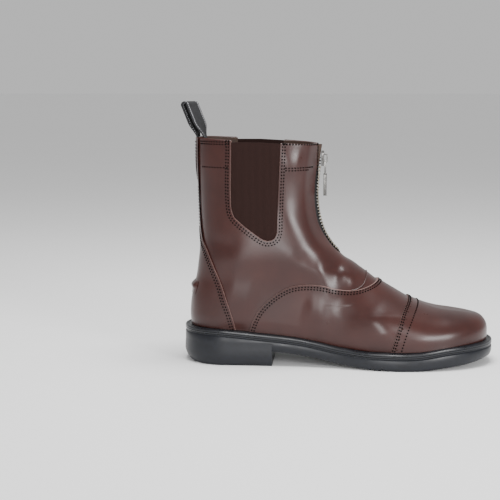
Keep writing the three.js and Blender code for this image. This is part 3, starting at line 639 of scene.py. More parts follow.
def ribbed_elastic():
    """Elastic webbing with fine upright ribs across the gore and a finer weave along them, its colour
    painted darker in the rib hollows and lighter on the crests as shade and light.
    """
    material, tree, surface = shader("gore elastic")
    place = place_of(tree)
    ribs = add(tree, "ShaderNodeTexWave",
               {"Vector": place, "Scale": 300, "Distortion": 0.25, "Detail": 1, "Detail Scale": 3},
               wave_type="BANDS", bands_direction="X").outputs["Fac"]
    weave = add(tree, "ShaderNodeTexWave", {"Vector": place, "Scale": 520, "Distortion": 0.4},
                wave_type="BANDS", bands_direction="Z").outputs["Fac"]
    # Painted shade and light: the colour follows the ribs' own relief, darker in the hollows between them
    # and lighter on their crests
    shaded_hollow = (0.0100, 0.0034, 0.0026)
    lit_crest = (0.0260, 0.0105, 0.0085)
    tree.links.new(ramp(tree, ribs, ((0.2, shaded_hollow), (0.85, lit_crest))), surface.inputs["Base Color"])
    threads = bump(tree, weave, strength=0.5, distance=0.12)
    tree.links.new(bump(tree, ribs, strength=0.5, distance=0.3, after=threads), surface.inputs["Normal"])
    surface.inputs["Roughness"].default_value = 0.9
    surface.inputs["Specular IOR Level"].default_value = 0.2
    return material


def woven_webbing():
    """Black webbing of the pull loop: its weave and its pale dotted border follow the band."""
    material, tree, surface = shader("loop webbing")
    border, border_half = 7.9, 0.55
    band = output_of(tree, "ShaderNodeUVMap", uv_map="band")
    split = add(tree, "ShaderNodeSeparateXYZ", {"Vector": band})
    across, along = split.outputs["X"], split.outputs["Y"]

    def wave(place, turn):
        return calculate(tree, "SINE", calculate(tree, "MULTIPLY", place, turn))

    pick = calculate(tree, "MULTIPLY", wave(across, 5.2), wave(along, 4.6))
    from_middle = calculate(tree, "ABSOLUTE", across)
    from_border = calculate(tree, "ABSOLUTE", calculate(tree, "SUBTRACT", from_middle, border))
    in_border = calculate(tree, "LESS_THAN", from_border, border_half)
    dash = calculate(tree, "GREATER_THAN", wave(along, 3.3), -0.1)
    cloth = ramp(tree, pick, ((0.1, (0.004, 0.004, 0.005)), (0.9, (0.022, 0.022, 0.026))))
    dotted = calculate(tree, "MULTIPLY", in_border, dash)
    colour = add(tree, "ShaderNodeMix", {"Factor": dotted, "A": cloth, "B": (0.42, 0.42, 0.44, 1)},
                 data_type="RGBA")
    tree.links.new(colour.outputs["Result"], surface.inputs["Base Color"])
    tree.links.new(bump(tree, pick, strength=0.7, distance=0.25), surface.inputs["Normal"])
    surface.inputs["Roughness"].default_value = 0.8
    return material


brown_leather = leather("brown leather", (0.026, 0.0057, 0.0043), (0.043, 0.0108, 0.0080))
guard_leather = leather("guard leather", (0.014, 0.0045, 0.0032), (0.026, 0.009, 0.0065),
                        gloss=0.45, coat=0.1)
raw_edge = plain_finish("cut leather edge", (0.13, 0.072, 0.062), (0.23, 0.14, 0.125),
                        rough=0.6, scale=900, depth=0.05)
lining = plain_finish("lining leather", (0.030, 0.014, 0.008), (0.050, 0.024, 0.014),
                      rough=0.7, scale=350, depth=0.10)
thread = plain_finish("dark thread", (0.0012, 0.0006, 0.0005), (0.004, 0.002, 0.0015),
                      rough=0.9, scale=2500, depth=0.02, specular=0.1)
rubber = plain_finish("black rubber", (0.0014, 0.0020, 0.0042), (0.0042, 0.0054, 0.0100),
                      rough=0.36, scale=260, depth=0.05, specular=0.4)
welt_rubber = plain_finish("welt rubber", (0.0018, 0.0023, 0.0040), (0.0050, 0.0060, 0.0100),
                           rough=0.30, scale=300, depth=0.05)
tape_cloth = plain_finish("zip tape", (0.004, 0.004, 0.004), (0.012, 0.011, 0.011),
                          rough=0.85, scale=1800, depth=0.12)
zip_metal = plain_finish("nickel", (0.085, 0.083, 0.080), (0.17, 0.165, 0.158),
                         rough=0.25, scale=700, depth=0.02, metallic=1.0)
tooth_metal = plain_finish("aged teeth", (0.13, 0.11, 0.085), (0.30, 0.27, 0.21),
                           rough=0.36, scale=900, depth=0.02, metallic=1.0)
punched = plain_finish("punched hole", (0.05, 0.024, 0.020), (0.11, 0.06, 0.052),
                       rough=0.9, scale=900, depth=0.02, specular=0.2)
elastic = ribbed_elastic()
webbing = woven_webbing()

# Material slots of a layer
OUTER_SLOT = 0
INNER_SLOT = 1
RIM_STEPS = 4


def layer(name, inside, outside, outer_material, inner_material, rim=0.0):
    """A closed shell of the upper between two distances from its skin, with a rounded collar rim."""
    outer = skin_at(outside).reshape(-1, 3)
    inner = skin_at(inside).reshape(-1, 3)
    points = [outer, inner]
    rings = []
    for level in range(1, RIM_STEPS):
        depth = outside + (inside - outside) * level / RIM_STEPS
        ring = skin[-1] + outward[-1] * depth
        ring[:, 2] += rim * math.sin(math.pi * level / RIM_STEPS)
        rings.append(len(outer) * 2 + AROUND * (level - 1))
        points.append(ring)
    rows, columns = np.meshgrid(np.arange(LOOPS - 1), np.arange(AROUND), indexing="ij")
    a = (rows * AROUND + columns).ravel()
    b = (rows * AROUND + (columns + 1) % AROUND).ravel()
    start = len(outer)
    column = np.arange(AROUND)
    following = (column + 1) % AROUND
    quads = [
        np.stack([a, b, b + AROUND, a + AROUND], axis=1),
        np.stack([a, a + AROUND, b + AROUND, b], axis=1) + start,
        np.stack([column, start + column, start + following, following], axis=1),
    ]
    top = (LOOPS - 1) * AROUND
    levels = [top, *rings, start + top]
    for lower, upper in zip(levels[:-1], levels[1:]):
        ring = [lower + column, lower + following, upper + following, upper + column]
        quads.append(np.stack(ring, axis=1))
    slots = [OUTER_SLOT] * len(a) + [INNER_SLOT] * (len(a) + AROUND) + [OUTER_SLOT] * (RIM_STEPS * AROUND)
    return piece_of(name, np.vstack(points), np.vstack(quads), outer_material, inner_material, raw_edge,
                    slots=slots)


def signed_area(outline):
    """Twice the area inside an outline, negative where it runs the other way round."""
    x, y = outline[:, 0], outline[:, 1]
    return np.sum(x * np.roll(y, -1) - np.roll(x, -1) * y)


def prism(outline, axis, near, far, material):
    """An outline pushed from one place to another along the axis that it lacks, as a cutter."""
    outline = np.asarray(outline, float)
    if signed_area(outline) < 0:
        outline = outline[::-1]
    count = len(outline)
    points = np.vstack([np.insert(outline, axis, place, axis=1) for place in (near, far)])
    sides = [(count + i, count + (i + 1) % count, (i + 1) % count, i) for i in range(count)]
    faces = [list(range(count)), list(range(2 * count - 1, count - 1, -1)), *sides]
    return piece_of("cutter", points, faces, material)


# Where the cutters end: to both sides, above the collar, and along the boot where they open the zip's slot
CUTTER_HALF = 110.0
PAST_COLLAR = COLLAR + 20
SLOT_BACK = float(length_at(0.3))
SLOT_FRONT = float(length_at(0.6))


def side_prism(outline, material=raw_edge):
    """A side-view outline pushed through the whole boot."""
    return prism(outline, 1, -CUTTER_HALF, CUTTER_HALF, material)


def front_prism(outline, material=raw_edge):
    """A front-view outline of y and z pushed through the front of the shaft."""
    return prism(outline, 0, SLOT_FRONT, SLOT_BACK, material)


def box(name, span, material):
    """A box given by its two ends in x, in y and in z."""
    corners = [(x, y, z) for x in span[0:2] for y in span[2:4] for z in span[4:6]]
    faces = [(0, 1, 3, 2), (4, 6, 7, 5), (0, 4, 5, 1), (2, 3, 7, 6), (0, 2, 6, 4), (1, 5, 7, 3)]
    return piece_of(name, corners, faces, material)


def skive(piece, reach=EDGE_SKIVE):
    """Slopes every cut edge outwards towards its foot, so that the raw edge shows as on thin leather."""
    mesh = piece.data
    raw = {i for i, material in enumerate(mesh.materials) if material and material.name == raw_edge.name}
    shape = bmesh.new()
    shape.from_mesh(mesh)
    shape.normal_update()
    moves = []
    for vertex in shape.verts:
        cut_faces = [f for f in vertex.link_faces if f.material_index in raw]
        inner_faces = [f for f in vertex.link_faces if f.material_index == INNER_SLOT]
        if not cut_faces or not inner_faces:
            continue
        away = sum((f.normal * f.calc_area() for f in cut_faces), Vector())
        inward = sum((f.normal * f.calc_area() for f in inner_faces), Vector()).normalized()
        away = away - inward * away.dot(inward)
        if away.length > 1e-12:
            moves.append((vertex, away.normalized() * reach * MM))
    for vertex, move in moves:
        vertex.co += move
    shape.to_mesh(mesh)
    shape.free()
    mesh.update()
    return piece


def widened(points, distance):
    """The same closed outline with its sides moved outwards."""
    points = np.asarray(points, float)
    turn = 1 if signed_area(points) > 0 else -1
    arriving = points - np.roll(points, 1, axis=0)
    leaving = np.roll(points, -1, axis=0) - points
    arriving /= np.linalg.norm(arriving, axis=1, keepdims=True)
    leaving /= np.linalg.norm(leaving, axis=1, keepdims=True)
    bisector = arriving + leaving
    bisector /= np.linalg.norm(bisector, axis=1, keepdims=True)
    spread = np.maximum(0.4, np.sum(bisector * arriving, axis=1))
    across = np.stack([bisector[:, 1], -bisector[:, 0]], axis=1)
    return points + turn * across * distance / spread[:, None]


gore_sides = smooth_line(side_points(GORE_EDGE), 60)
counter_front = smooth_line(side_points(COUNTER_EDGE), 60)
vamp_top = smooth_line(side_points(VAMP_EDGE), 90)
cap_rear = smooth_line(side_points(CAP_REAR_EDGE), 30)

# Zip slot seen from the front
SLOT_HALF_TOP = 6.4
SLOT_HALF_FOOT = 7.6
SLOT_FOOT = FOOT_HEIGHT - 4


def slot_outline(inset, top):
    """Outline of the zip slot seen from the front: straight sides and a round foot."""
    bottom = SLOT_FOOT + inset
    turns = np.linspace(0, np.pi / 2, 9)
    half = SLOT_HALF_FOOT - inset
    right = [(SLOT_HALF_TOP - inset, top)]
    right += [(half * math.cos(t), bottom + half * (1 - math.sin(t))) for t in turns]
    left = [(-y, z) for y, z in right[-2::-1]]
    return right + left


def node_tree(name, sizes):
    """A Geometry Nodes tree with one geometry in, named sizes and a material, and one geometry out."""
    tree = bpy.data.node_groups.new(name, "GeometryNodeTree")
    tree.interface.new_socket("Geometry", in_out="OUTPUT", socket_type="NodeSocketGeometry")
    tree.interface.new_socket("Path", in_out="INPUT", socket_type="NodeSocketGeometry")
    for size in sizes:
        tree.interface.new_socket(size, in_out="INPUT", socket_type="NodeSocketFloat")
    tree.interface.new_socket("Finish", in_out="INPUT", socket_type="NodeSocketMaterial")
    return tree, tree.nodes.new("NodeGroupInput").outputs


def ended(tree, given, geometry):
    """The tree with its copies made real and given their finish."""
    real = output_of(tree, "GeometryNodeRealizeInstances", {"Geometry": geometry})
    finish = output_of(tree, "GeometryNodeSetMaterial", {"Geometry": real, "Material": given["Finish"]})
    add(tree, "NodeGroupOutput", {"Geometry": finish})
    return tree


def spaced_points(tree, given):
    """The path as a curve whose points lie a pitch apart."""
    curve = output_of(tree, "GeometryNodeMeshToCurve", {"Mesh": given["Path"]})
    return output_of(tree, "GeometryNodeResampleCurve",
                     {"Curve": curve, "Length": given["Pitch"]}, mode="LENGTH")


def every_other(tree):
    """0 and 1 in turn from one point to the next."""
    return calculate(tree, "MODULO", output_of(tree, "GeometryNodeInputIndex"), 2)


def stitch_tree():
    """Stitches: small round-ended grains laid end to end along each path."""
    tree, given = node_tree("stitches along a seam", ("Pitch", "Length", "Thickness"))
    grain = output_of(tree, "GeometryNodeMeshUVSphere", {"Segments": 6, "Rings": 5, "Radius": 0.5})
    size = output_of(tree, "ShaderNodeCombineXYZ",
                     {"X": given["Thickness"], "Y": given["Thickness"], "Z": given["Length"]})
    shaped = output_of(tree, "GeometryNodeTransform", {"Geometry": grain, "Scale": size})
    tangent = output_of(tree, "GeometryNodeInputTangent")
    turn = output_of(tree, "FunctionNodeAlignRotationToVector", {"Vector": tangent}, axis="Z")
    placed = output_of(tree, "GeometryNodeInstanceOnPoints",
                       {"Points": spaced_points(tree, given), "Instance": shaped, "Rotation": turn})
    return ended(tree, given, placed)


def tooth_tree():
    """Zip teeth: blocks along the chain that reach to the left and the right in turn."""
    tree, given = node_tree("zip teeth", ("Pitch", "Width", "Height", "Stand"))
    spread = 0.55
    size = output_of(tree, "ShaderNodeCombineXYZ",
                     {"X": given["Stand"], "Y": given["Width"], "Z": given["Height"]})
    block = output_of(tree, "GeometryNodeMeshCube", {"Size": size})
    tangent = output_of(tree, "GeometryNodeInputTangent")
    upright = output_of(tree, "FunctionNodeAlignRotationToVector",
                        {"Vector": tangent}, axis="Z", pivot_axis="Y")
    placed = output_of(tree, "GeometryNodeInstanceOnPoints",
                       {"Points": spaced_points(tree, given), "Instance": block, "Rotation": upright})
    to_side = calculate(tree, "SUBTRACT", every_other(tree), 0.5)
    shift = calculate(tree, "MULTIPLY", calculate(tree, "MULTIPLY", to_side, given["Width"]), spread)
    sideways = output_of(tree, "ShaderNodeCombineXYZ", {"Y": shift})
    moved = output_of(tree, "GeometryNodeTranslateInstances", {"Instances": placed, "Translation": sideways})
    return ended(tree, given, moved)


def punch_tree():
    """Punches for the perforations: round plugs along each point's facing, large and small in turn."""
    tree, given = node_tree("perforation punches", ("Large", "Small", "Depth"))
    facing = output_of(tree, "GeometryNodeInputNamedAttribute", {"Name": "facing"}, data_type="FLOAT_VECTOR")
    turn = output_of(tree, "FunctionNodeAlignRotationToVector", {"Vector": facing}, axis="Z")
    radius = output_of(tree, "ShaderNodeMapRange",
                       {"Value": every_other(tree), "To Min": given["Large"], "To Max": given["Small"]})
    plug = output_of(tree, "GeometryNodeMeshCylinder", {"Vertices": 14, "Radius": 1.0, "Depth": 1.0})
    size = output_of(tree, "ShaderNodeCombineXYZ", {"X": radius, "Y": radius, "Z": given["Depth"]})
    placed = output_of(tree, "GeometryNodeInstanceOnPoints",
                       {"Points": given["Path"], "Instance": plug, "Rotation": turn, "Scale": size})
    return ended(tree, given, placed)


def bead_tree():
    """A raised seam: a round bead of leather along each path."""
    tree, given = node_tree("raised seam", ("Radius",))
    curve = output_of(tree, "GeometryNodeMeshToCurve", {"Mesh": given["Path"]})
    section = output_of(tree, "GeometryNodeCurvePrimitiveCircle",
                        {"Resolution": 10, "Radius": given["Radius"]})
    swept = output_of(tree, "GeometryNodeCurveToMesh",
                      {"Curve": curve, "Profile Curve": section, "Fill Caps": True})
    return ended(tree, given, swept)


def made_along(paths, tree, name, material, facings=None, **sizes):
    """A piece made by a node tree along paths in millimetres, turned into a plain mesh."""
    points, edges = [], []
    for path in paths:
        start = len(points)
        points += (np.asarray(path) * MM).tolist()
        edges += [(start + i, start + i + 1) for i in range(len(path) - 1)]
    mesh = bpy.data.meshes.new(name)
    mesh.from_pydata(points, [] if facings is not None else edges, [])
    if facings is not None:
        facing = mesh.attributes.new("facing", "FLOAT_VECTOR", "POINT")
        facing.data.foreach_set("vector", np.asarray(facings, np.float32).ravel())
    piece = new_object(name, mesh)
    modifier = piece.modifiers.new("made", "NODES")
    modifier.node_group = tree
    sockets = {item.name: item.identifier for item in tree.interface.items_tree if item.in_out == "INPUT"}
    for size, value in sizes.items():
        modifier[sockets[size]] = value * MM
    modifier[sockets["Finish"]] = material
    return baked(piece)


def make_upper():
    """The boot's wall, open at the two gores and at the zip."""
    piece = layer("upper_leather", -WALL, 0.0, brown_leather, lining, rim=0.7)
    with_cutter(piece, side_prism(gore_sides), "DIFFERENCE")
    with_cutter(piece, front_prism(slot_outline(0, PAST_COLLAR)), "DIFFERENCE")
    skive(piece, WALL_SKIVE)
    finished(smooth_shaded(piece), "upper")


def overlay(name, outline, outside, rim=0.0):
    """A leather overlay: the stretch of a layer inside an outline, with its cut edges sloped."""
    piece = layer(name, OVERLAY_FOOT, outside, brown_leather, lining, rim)
    with_cutter(piece, side_prism(outline), "INTERSECT")
    return skive(piece)


def make_counter():
    """Overlay round the heel, with the narrow strap that runs up the back."""
    behind = UPPER_BACK - 20
    outline = np.vstack([counter_front, [(behind, 0), (behind, PAST_COLLAR)]])
    piece = overlay("counter_leather", outline, GAP + OVERLAY, rim=0.4)
    finished(smooth_shaded(piece), "counter")


def make_vamp():
    """Overlay over the fore foot, between its curved top seam and the toe cap."""
    top_corner = [(length_at(0.75), height_at(0.95))]
    piece = overlay("vamp_leather", np.vstack([vamp_top, top_corner, cap_rear[::-1]]), GAP + OVERLAY)
    finished(smooth_shaded(piece), "vamp")


PERFORATION_PITCH = 4.4
PERFORATIONS_ABOVE_WELT = 3.0


def perforation_punches():
    """Plugs that punch the row of holes along the toe cap's strip."""
    path = over_path(smooth_line(side_points(PERFORATION_LINE), 60), 0.8)
    path = path[path[:, 2] > welt_z(path[:, 0]) + PERFORATIONS_ABOVE_WELT]
    length = np.sum(np.linalg.norm(np.diff(path, axis=0), axis=1))
    spots, facings = on_skin(evenly(path, int(length / PERFORATION_PITCH)), GAP + OVERLAY + CAP_RIDGE)
    return made_along([spots], punch_tree(), "cutter", punched, facings, Large=1.0, Small=0.5, Depth=1.9)


def make_toe_cap():
    """Thicker overlay over the toe, with its row of perforations."""
    ahead = length_at(1.1)
    outline = np.vstack([cap_rear + (GAP, 0), [(ahead, height_at(0.9)), (ahead, 0)]])
    piece = overlay("toe_cap_leather", outline, GAP + OVERLAY + CAP_RIDGE)
    with_cutter(piece, perforation_punches(), "DIFFERENCE")
    finished(smooth_shaded(piece), "toe_cap")


GORE_BACK = -1.9
GORE_FACE = -0.6
GORE_BELOW_COLLAR = 3.0


def make_gores():
    """The two elastic panels, each a stretch of one layer on its own side."""
    panel = widened(side_points(GORE_EDGE), -GAP)
    top = COLLAR - GORE_BELOW_COLLAR
    for name, side in (("gore_lateral", -1), ("gore_medial", 1)):
        piece = layer(name + "_elastic", GORE_BACK, GORE_FACE, elastic, elastic)
        with_cutter(piece, side_prism(panel, elastic), "INTERSECT")
        span = (UPPER_BACK, length_at(0.5), *sorted((0, side * 90)), 0, top)
        with_cutter(piece, box("cutter", span, elastic), "INTERSECT")
        piece.data.materials.clear()
        piece.data.materials.append(elastic)
        finished(smooth_shaded(piece), name)


# Ledge on the back of the heel: how far it stands out, its half width, and its shape in side view
REST_REACH = 2.6
REST_HALF = 17.0
REST_SHAPE = {
    "level": (0.600, 0.622, 0.645, 0.660, 0.672, 0.684, 0.700, 0.715),
    "reach": (0.10, 0.20, 0.42, 0.80, 1.00, 0.98, 0.60, 0.10),
}
REST_ROWS = 19
REST_COLUMNS = 49
REST_END_FADE = 4.0
REST_END_SHARE = 0.25
REST_LEAST = 0.15


def back_of_heel(y, z):
    """The upper's place behind the heel at a distance from the middle, and its outward direction."""
    side = -1 if y < 0 else 1
    xs = back_x(z) + np.linspace(0, 60, FINE_POINTS)
    widths = half_width(side, xs, np.full(xs.shape, z))
    x = float(np.interp(abs(y), widths, xs))
    slope = float(np.interp(abs(y) + 0.5, widths, xs)) - x
    normal = np.array([-1.0, side * slope / 0.5, 0.0])
    return np.array([x, y, z]), normal / np.linalg.norm(normal)


def make_spur_rest():
    """Small moulded ledge round the back of the heel."""
    base = GAP + OVERLAY + GAP
    heights = height_at(np.linspace(REST_SHAPE["level"][0], REST_SHAPE["level"][-1], REST_ROWS))
    reaches = read(REST_SHAPE, "level", "reach", level_at(heights)) * REST_REACH
    outer, inner = [], []
    for z, reach in zip(heights, reaches):
        for y in np.linspace(-REST_HALF, REST_HALF, REST_COLUMNS):
            point, normal = back_of_heel(y, z)
            fade = smooth((REST_HALF - abs(y)) / REST_END_FADE)
            stand = max(REST_LEAST, reach * (REST_END_SHARE + (1 - REST_END_SHARE) * fade))
            inner.append(point + normal * base)
            outer.append(point + normal * (base + stand))
    rows, columns = REST_ROWS, REST_COLUMNS
    count = rows * columns
    faces = []
    for row in range(rows - 1):
        for column in range(columns - 1):
            a = row * columns + column
            faces.append((a, a + columns, a + columns + 1, a + 1))
            faces.append((count + a, count + a + 1, count + a + columns + 1, count + a + columns))
    for column in range(columns - 1):
        faces.append((column, column + 1, count + column + 1, count + column))
        a = (rows - 1) * columns + column
        faces.append((a, count + a, count + a + 1, a + 1))
    for row in range(rows - 1):
        a = row * columns
        faces.append((a, count + a, count + a + columns, a + columns))
        b = a + columns - 1
        faces.append((b, b + columns, count + b + columns, count + b))
    piece = piece_of("spur_rest_leather", np.vstack([outer, inner]), faces, brown_leather)
    finished(smooth_shaded(piece, 50), "spur_rest")


def welt_top(x):
    """Upper face of the welt, just under the wall."""
    return welt_z(x) - GAP


def welt_foot(x):
    """Lower face of the welt."""
    return welt_top(x) - WELT_THICKNESS


def unit_top(x):
    """Upper edge of the moulded sole."""
    return welt_foot(x) - GAP


def plan_loop(offset, height_of, rise=0.0, shorter_behind=0.0):
    """The foot's outline at a distance from the upper, at a rise over a height given as a function of x."""
    foot = bare_skin[0]
    facing = bare_outward[0]
    rear = np.maximum(0, -facing[:, 0]) ** 2
    reach = offset - shorter_behind * rear
    points = foot + facing * reach[:, None]
    points[:, 2] = height_of(points[:, 0]) + rise
    return points


def ring_faces(loops, closed):
    """Faces between a run of loops, and back to the first one where closed."""
    faces = []
    last = loops if closed else loops - 1
    for row in range(last):
        upper = (row + 1) % loops
        for column in range(AROUND):
            following = (column + 1) % AROUND
            faces.append((row * AROUND + column, row * AROUND + following,
                          upper * AROUND + following, upper * AROUND + column))
    return faces


def stacked(name, loops, material):
    """A closed form from a stack of loops, with its ends bridged from side to side."""
    faces = ring_faces(len(loops), False)
    half = AROUND // 2
    for base, turned in ((0, False), ((len(loops) - 1) * AROUND, True)):
        for i in range(half):
            outer, outer_next = base + i, base + i + 1
            inner = base + (AROUND - i) % AROUND
            inner_next = base + (AROUND - i - 1) % AROUND
            if i == 0:
                face = (outer, inner_next, outer_next)
            elif i == half - 1:
                face = (outer, inner, inner_next)
            else:
                face = (outer, inner, inner_next, outer_next)
            faces.append(face[::-1] if turned else face)
    return piece_of(name, np.vstack(loops), faces, material)


def make_welt():
    """Welt: a strip with a rounded edge, a shallow stitch channel on top and a fine line along its side."""
    edge = WELT_REACH
    profile = (
        (edge - 0.7, welt_foot, 0.0),
        (edge - 0.15, welt_foot, 0.35),
        (edge, welt_foot, 0.9),
        (edge, welt_foot, 1.5),
        (edge - 0.35, welt_foot, 1.75),
        (edge, welt_foot, 2.0),
        (edge, welt_top, -0.9),
        (edge - 0.25, welt_top, -0.3),
        (edge - 0.9, welt_top, 0.0),
        (edge - 2.2, welt_top, 0.0),
        (edge - 2.5, welt_top, -0.45),
        (edge - 3.5, welt_top, -0.45),
        (edge - 3.8, welt_top, 0.0),
        (0.0, welt_top, 0.0),
        (-WELT_INSIDE, welt_top, 0.0),
        (-WELT_INSIDE, welt_foot, 0.0),
    )
    loops = [plan_loop(*row) for row in profile]
    piece = piece_of("welt_rubber", np.vstack(loops), ring_faces(len(loops), True), welt_rubber)
    finished(smooth_shaded(piece, 40), "welt")


def make_sock():
    """Insole with its leather sock."""
    edge = -WALL - 2 * GAP
    profile = ((edge, 0.0), (edge, 2.2), (edge - 0.3, 2.75), (edge - 0.9, 3.0))
    piece = stacked("insole_sock", [plan_loop(reach, welt_z, rise) for reach, rise in profile], lining)
    finished(smooth_shaded(piece, 40), "insole")


# Tread grooves: their spacing, half width, depth and distance from the sole's edge
TREAD_PITCH = 9.0
GROOVE_HALF = 1.6
GROOVE_DEPTH = 1.8
TREAD_BORDER = 7.0
FORE_TREAD = (0.615, 0.965)
OPEN_GROOVES = 2
OPEN_REACH = 10.0
HEEL_TREAD = (UPPER_BACK + 16, HEEL_BREAST - 9)
HEEL_TREAD_CLEAR = 4.5


def tread_grooves():
    """Spans of the grooves: under the fore foot, the first ones open at the edge, and under the heel."""
    spans = []
    for index, x in enumerate(np.arange(*length_at(FORE_TREAD), TREAD_PITCH)):
        border = -OPEN_REACH if index < OPEN_GROOVES else TREAD_BORDER
        foot = max(0.0, float(tread_z(x)))
        outer = float(half_width(-1, x, welt_z(x)) - middle_y(x)) + WELT_REACH - border
        inner = float(half_width(1, x, welt_z(x)) + middle_y(x)) + WELT_REACH - border
        spans.append((x - GROOVE_HALF, x + GROOVE_HALF, -outer, inner, foot - 5, foot + GROOVE_DEPTH))
    for x in np.arange(*HEEL_TREAD, TREAD_PITCH):
        if abs(x) > HEEL_TREAD_CLEAR:
            reach = float(half_width(-1, x, welt_z(x))) + WELT_REACH - TREAD_BORDER
            spans.append((x - GROOVE_HALF, x + GROOVE_HALF, -reach, reach, -5, GROOVE_DEPTH))
    return spans


def make_outsole():
    """Moulded unit: edge with a step, shank, toe spring, heel block and tread."""
    edge = WELT_REACH

    def part_way(share):
        return lambda x: tread_z(x) + (unit_top(x) - tread_z(x)) * share

    def flat(share):
        return lambda x: np.full(np.shape(x), HEEL_SEAT * share)

    side = (
        (edge - 2.3, tread_z, 0.0),
        (edge - 1.3, tread_z, 0.5),
        (edge - 0.9, tread_z, 1.4),
        (edge - 0.3, part_way(0.30), 0.0),
        (edge, part_way(0.45), 0.0),
        (edge, unit_top, -1.9),
        (edge - 0.15, unit_top, -1.6),
        (edge - 0.9, unit_top, -0.9),
        (edge - 0.9, unit_top, 0.0),
        (-WELT_INSIDE - GAP, unit_top, 0.0),
        (-WELT_INSIDE - GAP, welt_top, 0.0),
    )
    block = (
        (edge - 2.0, flat(0.000), 0.0, 5.0),
        (edge - 1.0, flat(0.018), 0.0, 4.4),
        (edge - 0.5, flat(0.055), 0.0, 3.2),
        (edge - 0.1, flat(0.130), 0.0, 1.6),
        (edge + 0.3, flat(0.230), 0.0, 0.5),
        (edge + 0.5, flat(0.320), 0.0, 0.0),
        (edge + 0.3, flat(0.450), 0.0, 0.0),
        (edge, flat(0.620), 0.0, 0.0),
    )
    piece = stacked("outsole_rubber", [plan_loop(*row) for row in side], rubber)
    heel = stacked("heel", [plan_loop(*row) for row in block], rubber)
    behind = UPPER_BACK - 40
    with_cutter(heel, box("cutter", (behind, HEEL_BREAST, -90, 90, -1, HEEL_SEAT), rubber), "INTERSECT")
    with_cutter(piece, heel, "UNION")
    under_ground = (behind, length_at(1.2), -90, 90, -10, 0)
    for span in [under_ground, *tread_grooves()]:
        with_cutter(piece, box("cutter", span, rubber), "DIFFERENCE")
    finished(smooth_shaded(piece, 35), "outsole")


# Stitching: how far the rows run from their edges, and how far the thread lies from the skin
STITCH = {"Pitch": 2.8, "Length": 1.6, "Thickness": 1.4}
ON_WALL = 0.10
ON_OVERLAY = GAP + OVERLAY + 0.08
ON_CAP = GAP + OVERLAY + CAP_RIDGE + 0.08
GORE_ROWS = (1.9, 4.1)
OVERLAY_ROWS = (1.7, 3.9)
CAP_ROWS = (0.9, 2.7)
CAP_FRONT_ROW = 0.6
SLOT_ROWS = (2.2, 4.6)
COLLAR_ROWS = (2.9, 5.1)
COLLAR_STRETCHES = ((0.040, 0.136), (0.318, 0.425))
BAND_LEVEL = 1.746
BAND_STRETCHES = ((0.046, 0.131, 0.0), (0.325, 0.409, 0.0), (0.325, 0.395, 2.3))
CLEAR_OF_WELT = 1.0
CLEAR_OF_BACK = 1.2


def above_welt(path):
    """The part of a path that lies clear of the welt."""
    return path[path[:, 2] > welt_z(path[:, 0]) + CLEAR_OF_WELT]


def below_collar(line):
    """The part of a side-view line that lies clear of the collar."""
    return line[line[:, 1] < COLLAR - 1.0]


def stretches(path, kept):
    """The stretches of a path whose points are kept."""
    ends = np.flatnonzero(np.diff(kept.astype(int))) + 1
    parts = zip(np.split(path, ends), np.split(kept, ends))
    return [part for part, keep in parts if keep[0] and len(part) > 1]


def level_row(side, start, end, z):
    """A level row on the wall, between two shares of the upper's length."""
    line = np.stack([length_at(np.linspace(start, end, 30)), np.full(30, z)], axis=1)
    return on_skin(side_path(line, side), ON_WALL)[0]


def side_rows(side):
    """The rows on one side: round the gore, on the counter, at the band and collar and along the zip."""
    rows = []
    gore = side_path(below_collar(gore_sides), side)
    for distance in GORE_ROWS:
        rows.append(beside(gore, -side * distance, ON_WALL))
    counter = above_welt(side_path(below_collar(counter_front), side))
    for distance in OVERLAY_ROWS:
        row = beside(counter, side * distance, ON_OVERLAY)
        rows += stretches(row, side * row[:, 1] > CLEAR_OF_BACK)
    for start, end, drop in BAND_STRETCHES:
        rows.append(level_row(side, start, end, height_at(BAND_LEVEL) - drop))
    for start, end in COLLAR_STRETCHES:
        for drop in COLLAR_ROWS:
            rows.append(level_row(side, start, end, COLLAR - drop))
    slot = slot_outline(0, COLLAR - 2.4)
    edge = np.array([front_side(abs(y), z, side) for y, z in slot[:len(slot) // 2]])
    for distance in SLOT_ROWS:
        rows.append(beside(evenly(edge, 70), -side * distance, ON_WALL))
    return rows


def make_seams():
    """Rows of stitching beside every panel edge, round the collar and along the zip."""
    rows = side_rows(-1) + side_rows(1)
    vamp = above_welt(over_path(vamp_top))
    for distance in OVERLAY_ROWS:
        rows.append(beside(vamp, -distance, ON_OVERLAY))
    cap = above_welt(over_path(cap_rear))
    for distance in CAP_ROWS:
        rows.append(beside(cap, -distance, ON_CAP))
    front = above_welt(over_path(smooth_line(side_points(CAP_FRONT_SEAM), 60)))
    rows.append(beside(front, -CAP_FRONT_ROW, ON_CAP))
    finished(made_along(rows, stitch_tree(), "seam_stitches", thread, **STITCH), None)


def make_tongue_edge():
    """Raised edge of the tongue piece, just behind the vamp's top seam."""
    edge = {"along": (0.543, 0.556, 0.580, 0.592, 0.590), "level": (0.668, 0.674, 0.704, 0.768, 0.860)}
    path = on_skin(over_path(smooth_line(side_points(edge), 60)), 0.05)[0]
    piece = made_along([path], bead_tree(), "tongue_edge", brown_leather, Radius=0.8)
    finished(smooth_shaded(piece, 60), None)


TAPE_FACE = -0.8
TAPE_THICKNESS = 1.1
CHAIN_STAND = 1.15
CHAIN_FOOT = FOOT_HEIGHT - 1.3
CHAIN_TOP = COLLAR - 26.4
TEETH = {"Pitch": 1.5, "Width": 3.6, "Height": 0.9, "Stand": 1.9}


def front_centre(z, offset):
    """A point on the middle of the boot's front, at a distance from the skin."""
    x = ridge_x(z)
    slope = ridge_x(z + 0.5) - ridge_x(z - 0.5)
    across = 1 / np.hypot(1, slope)
    return np.array([x + offset * across, 0.0, z - offset * slope * across])


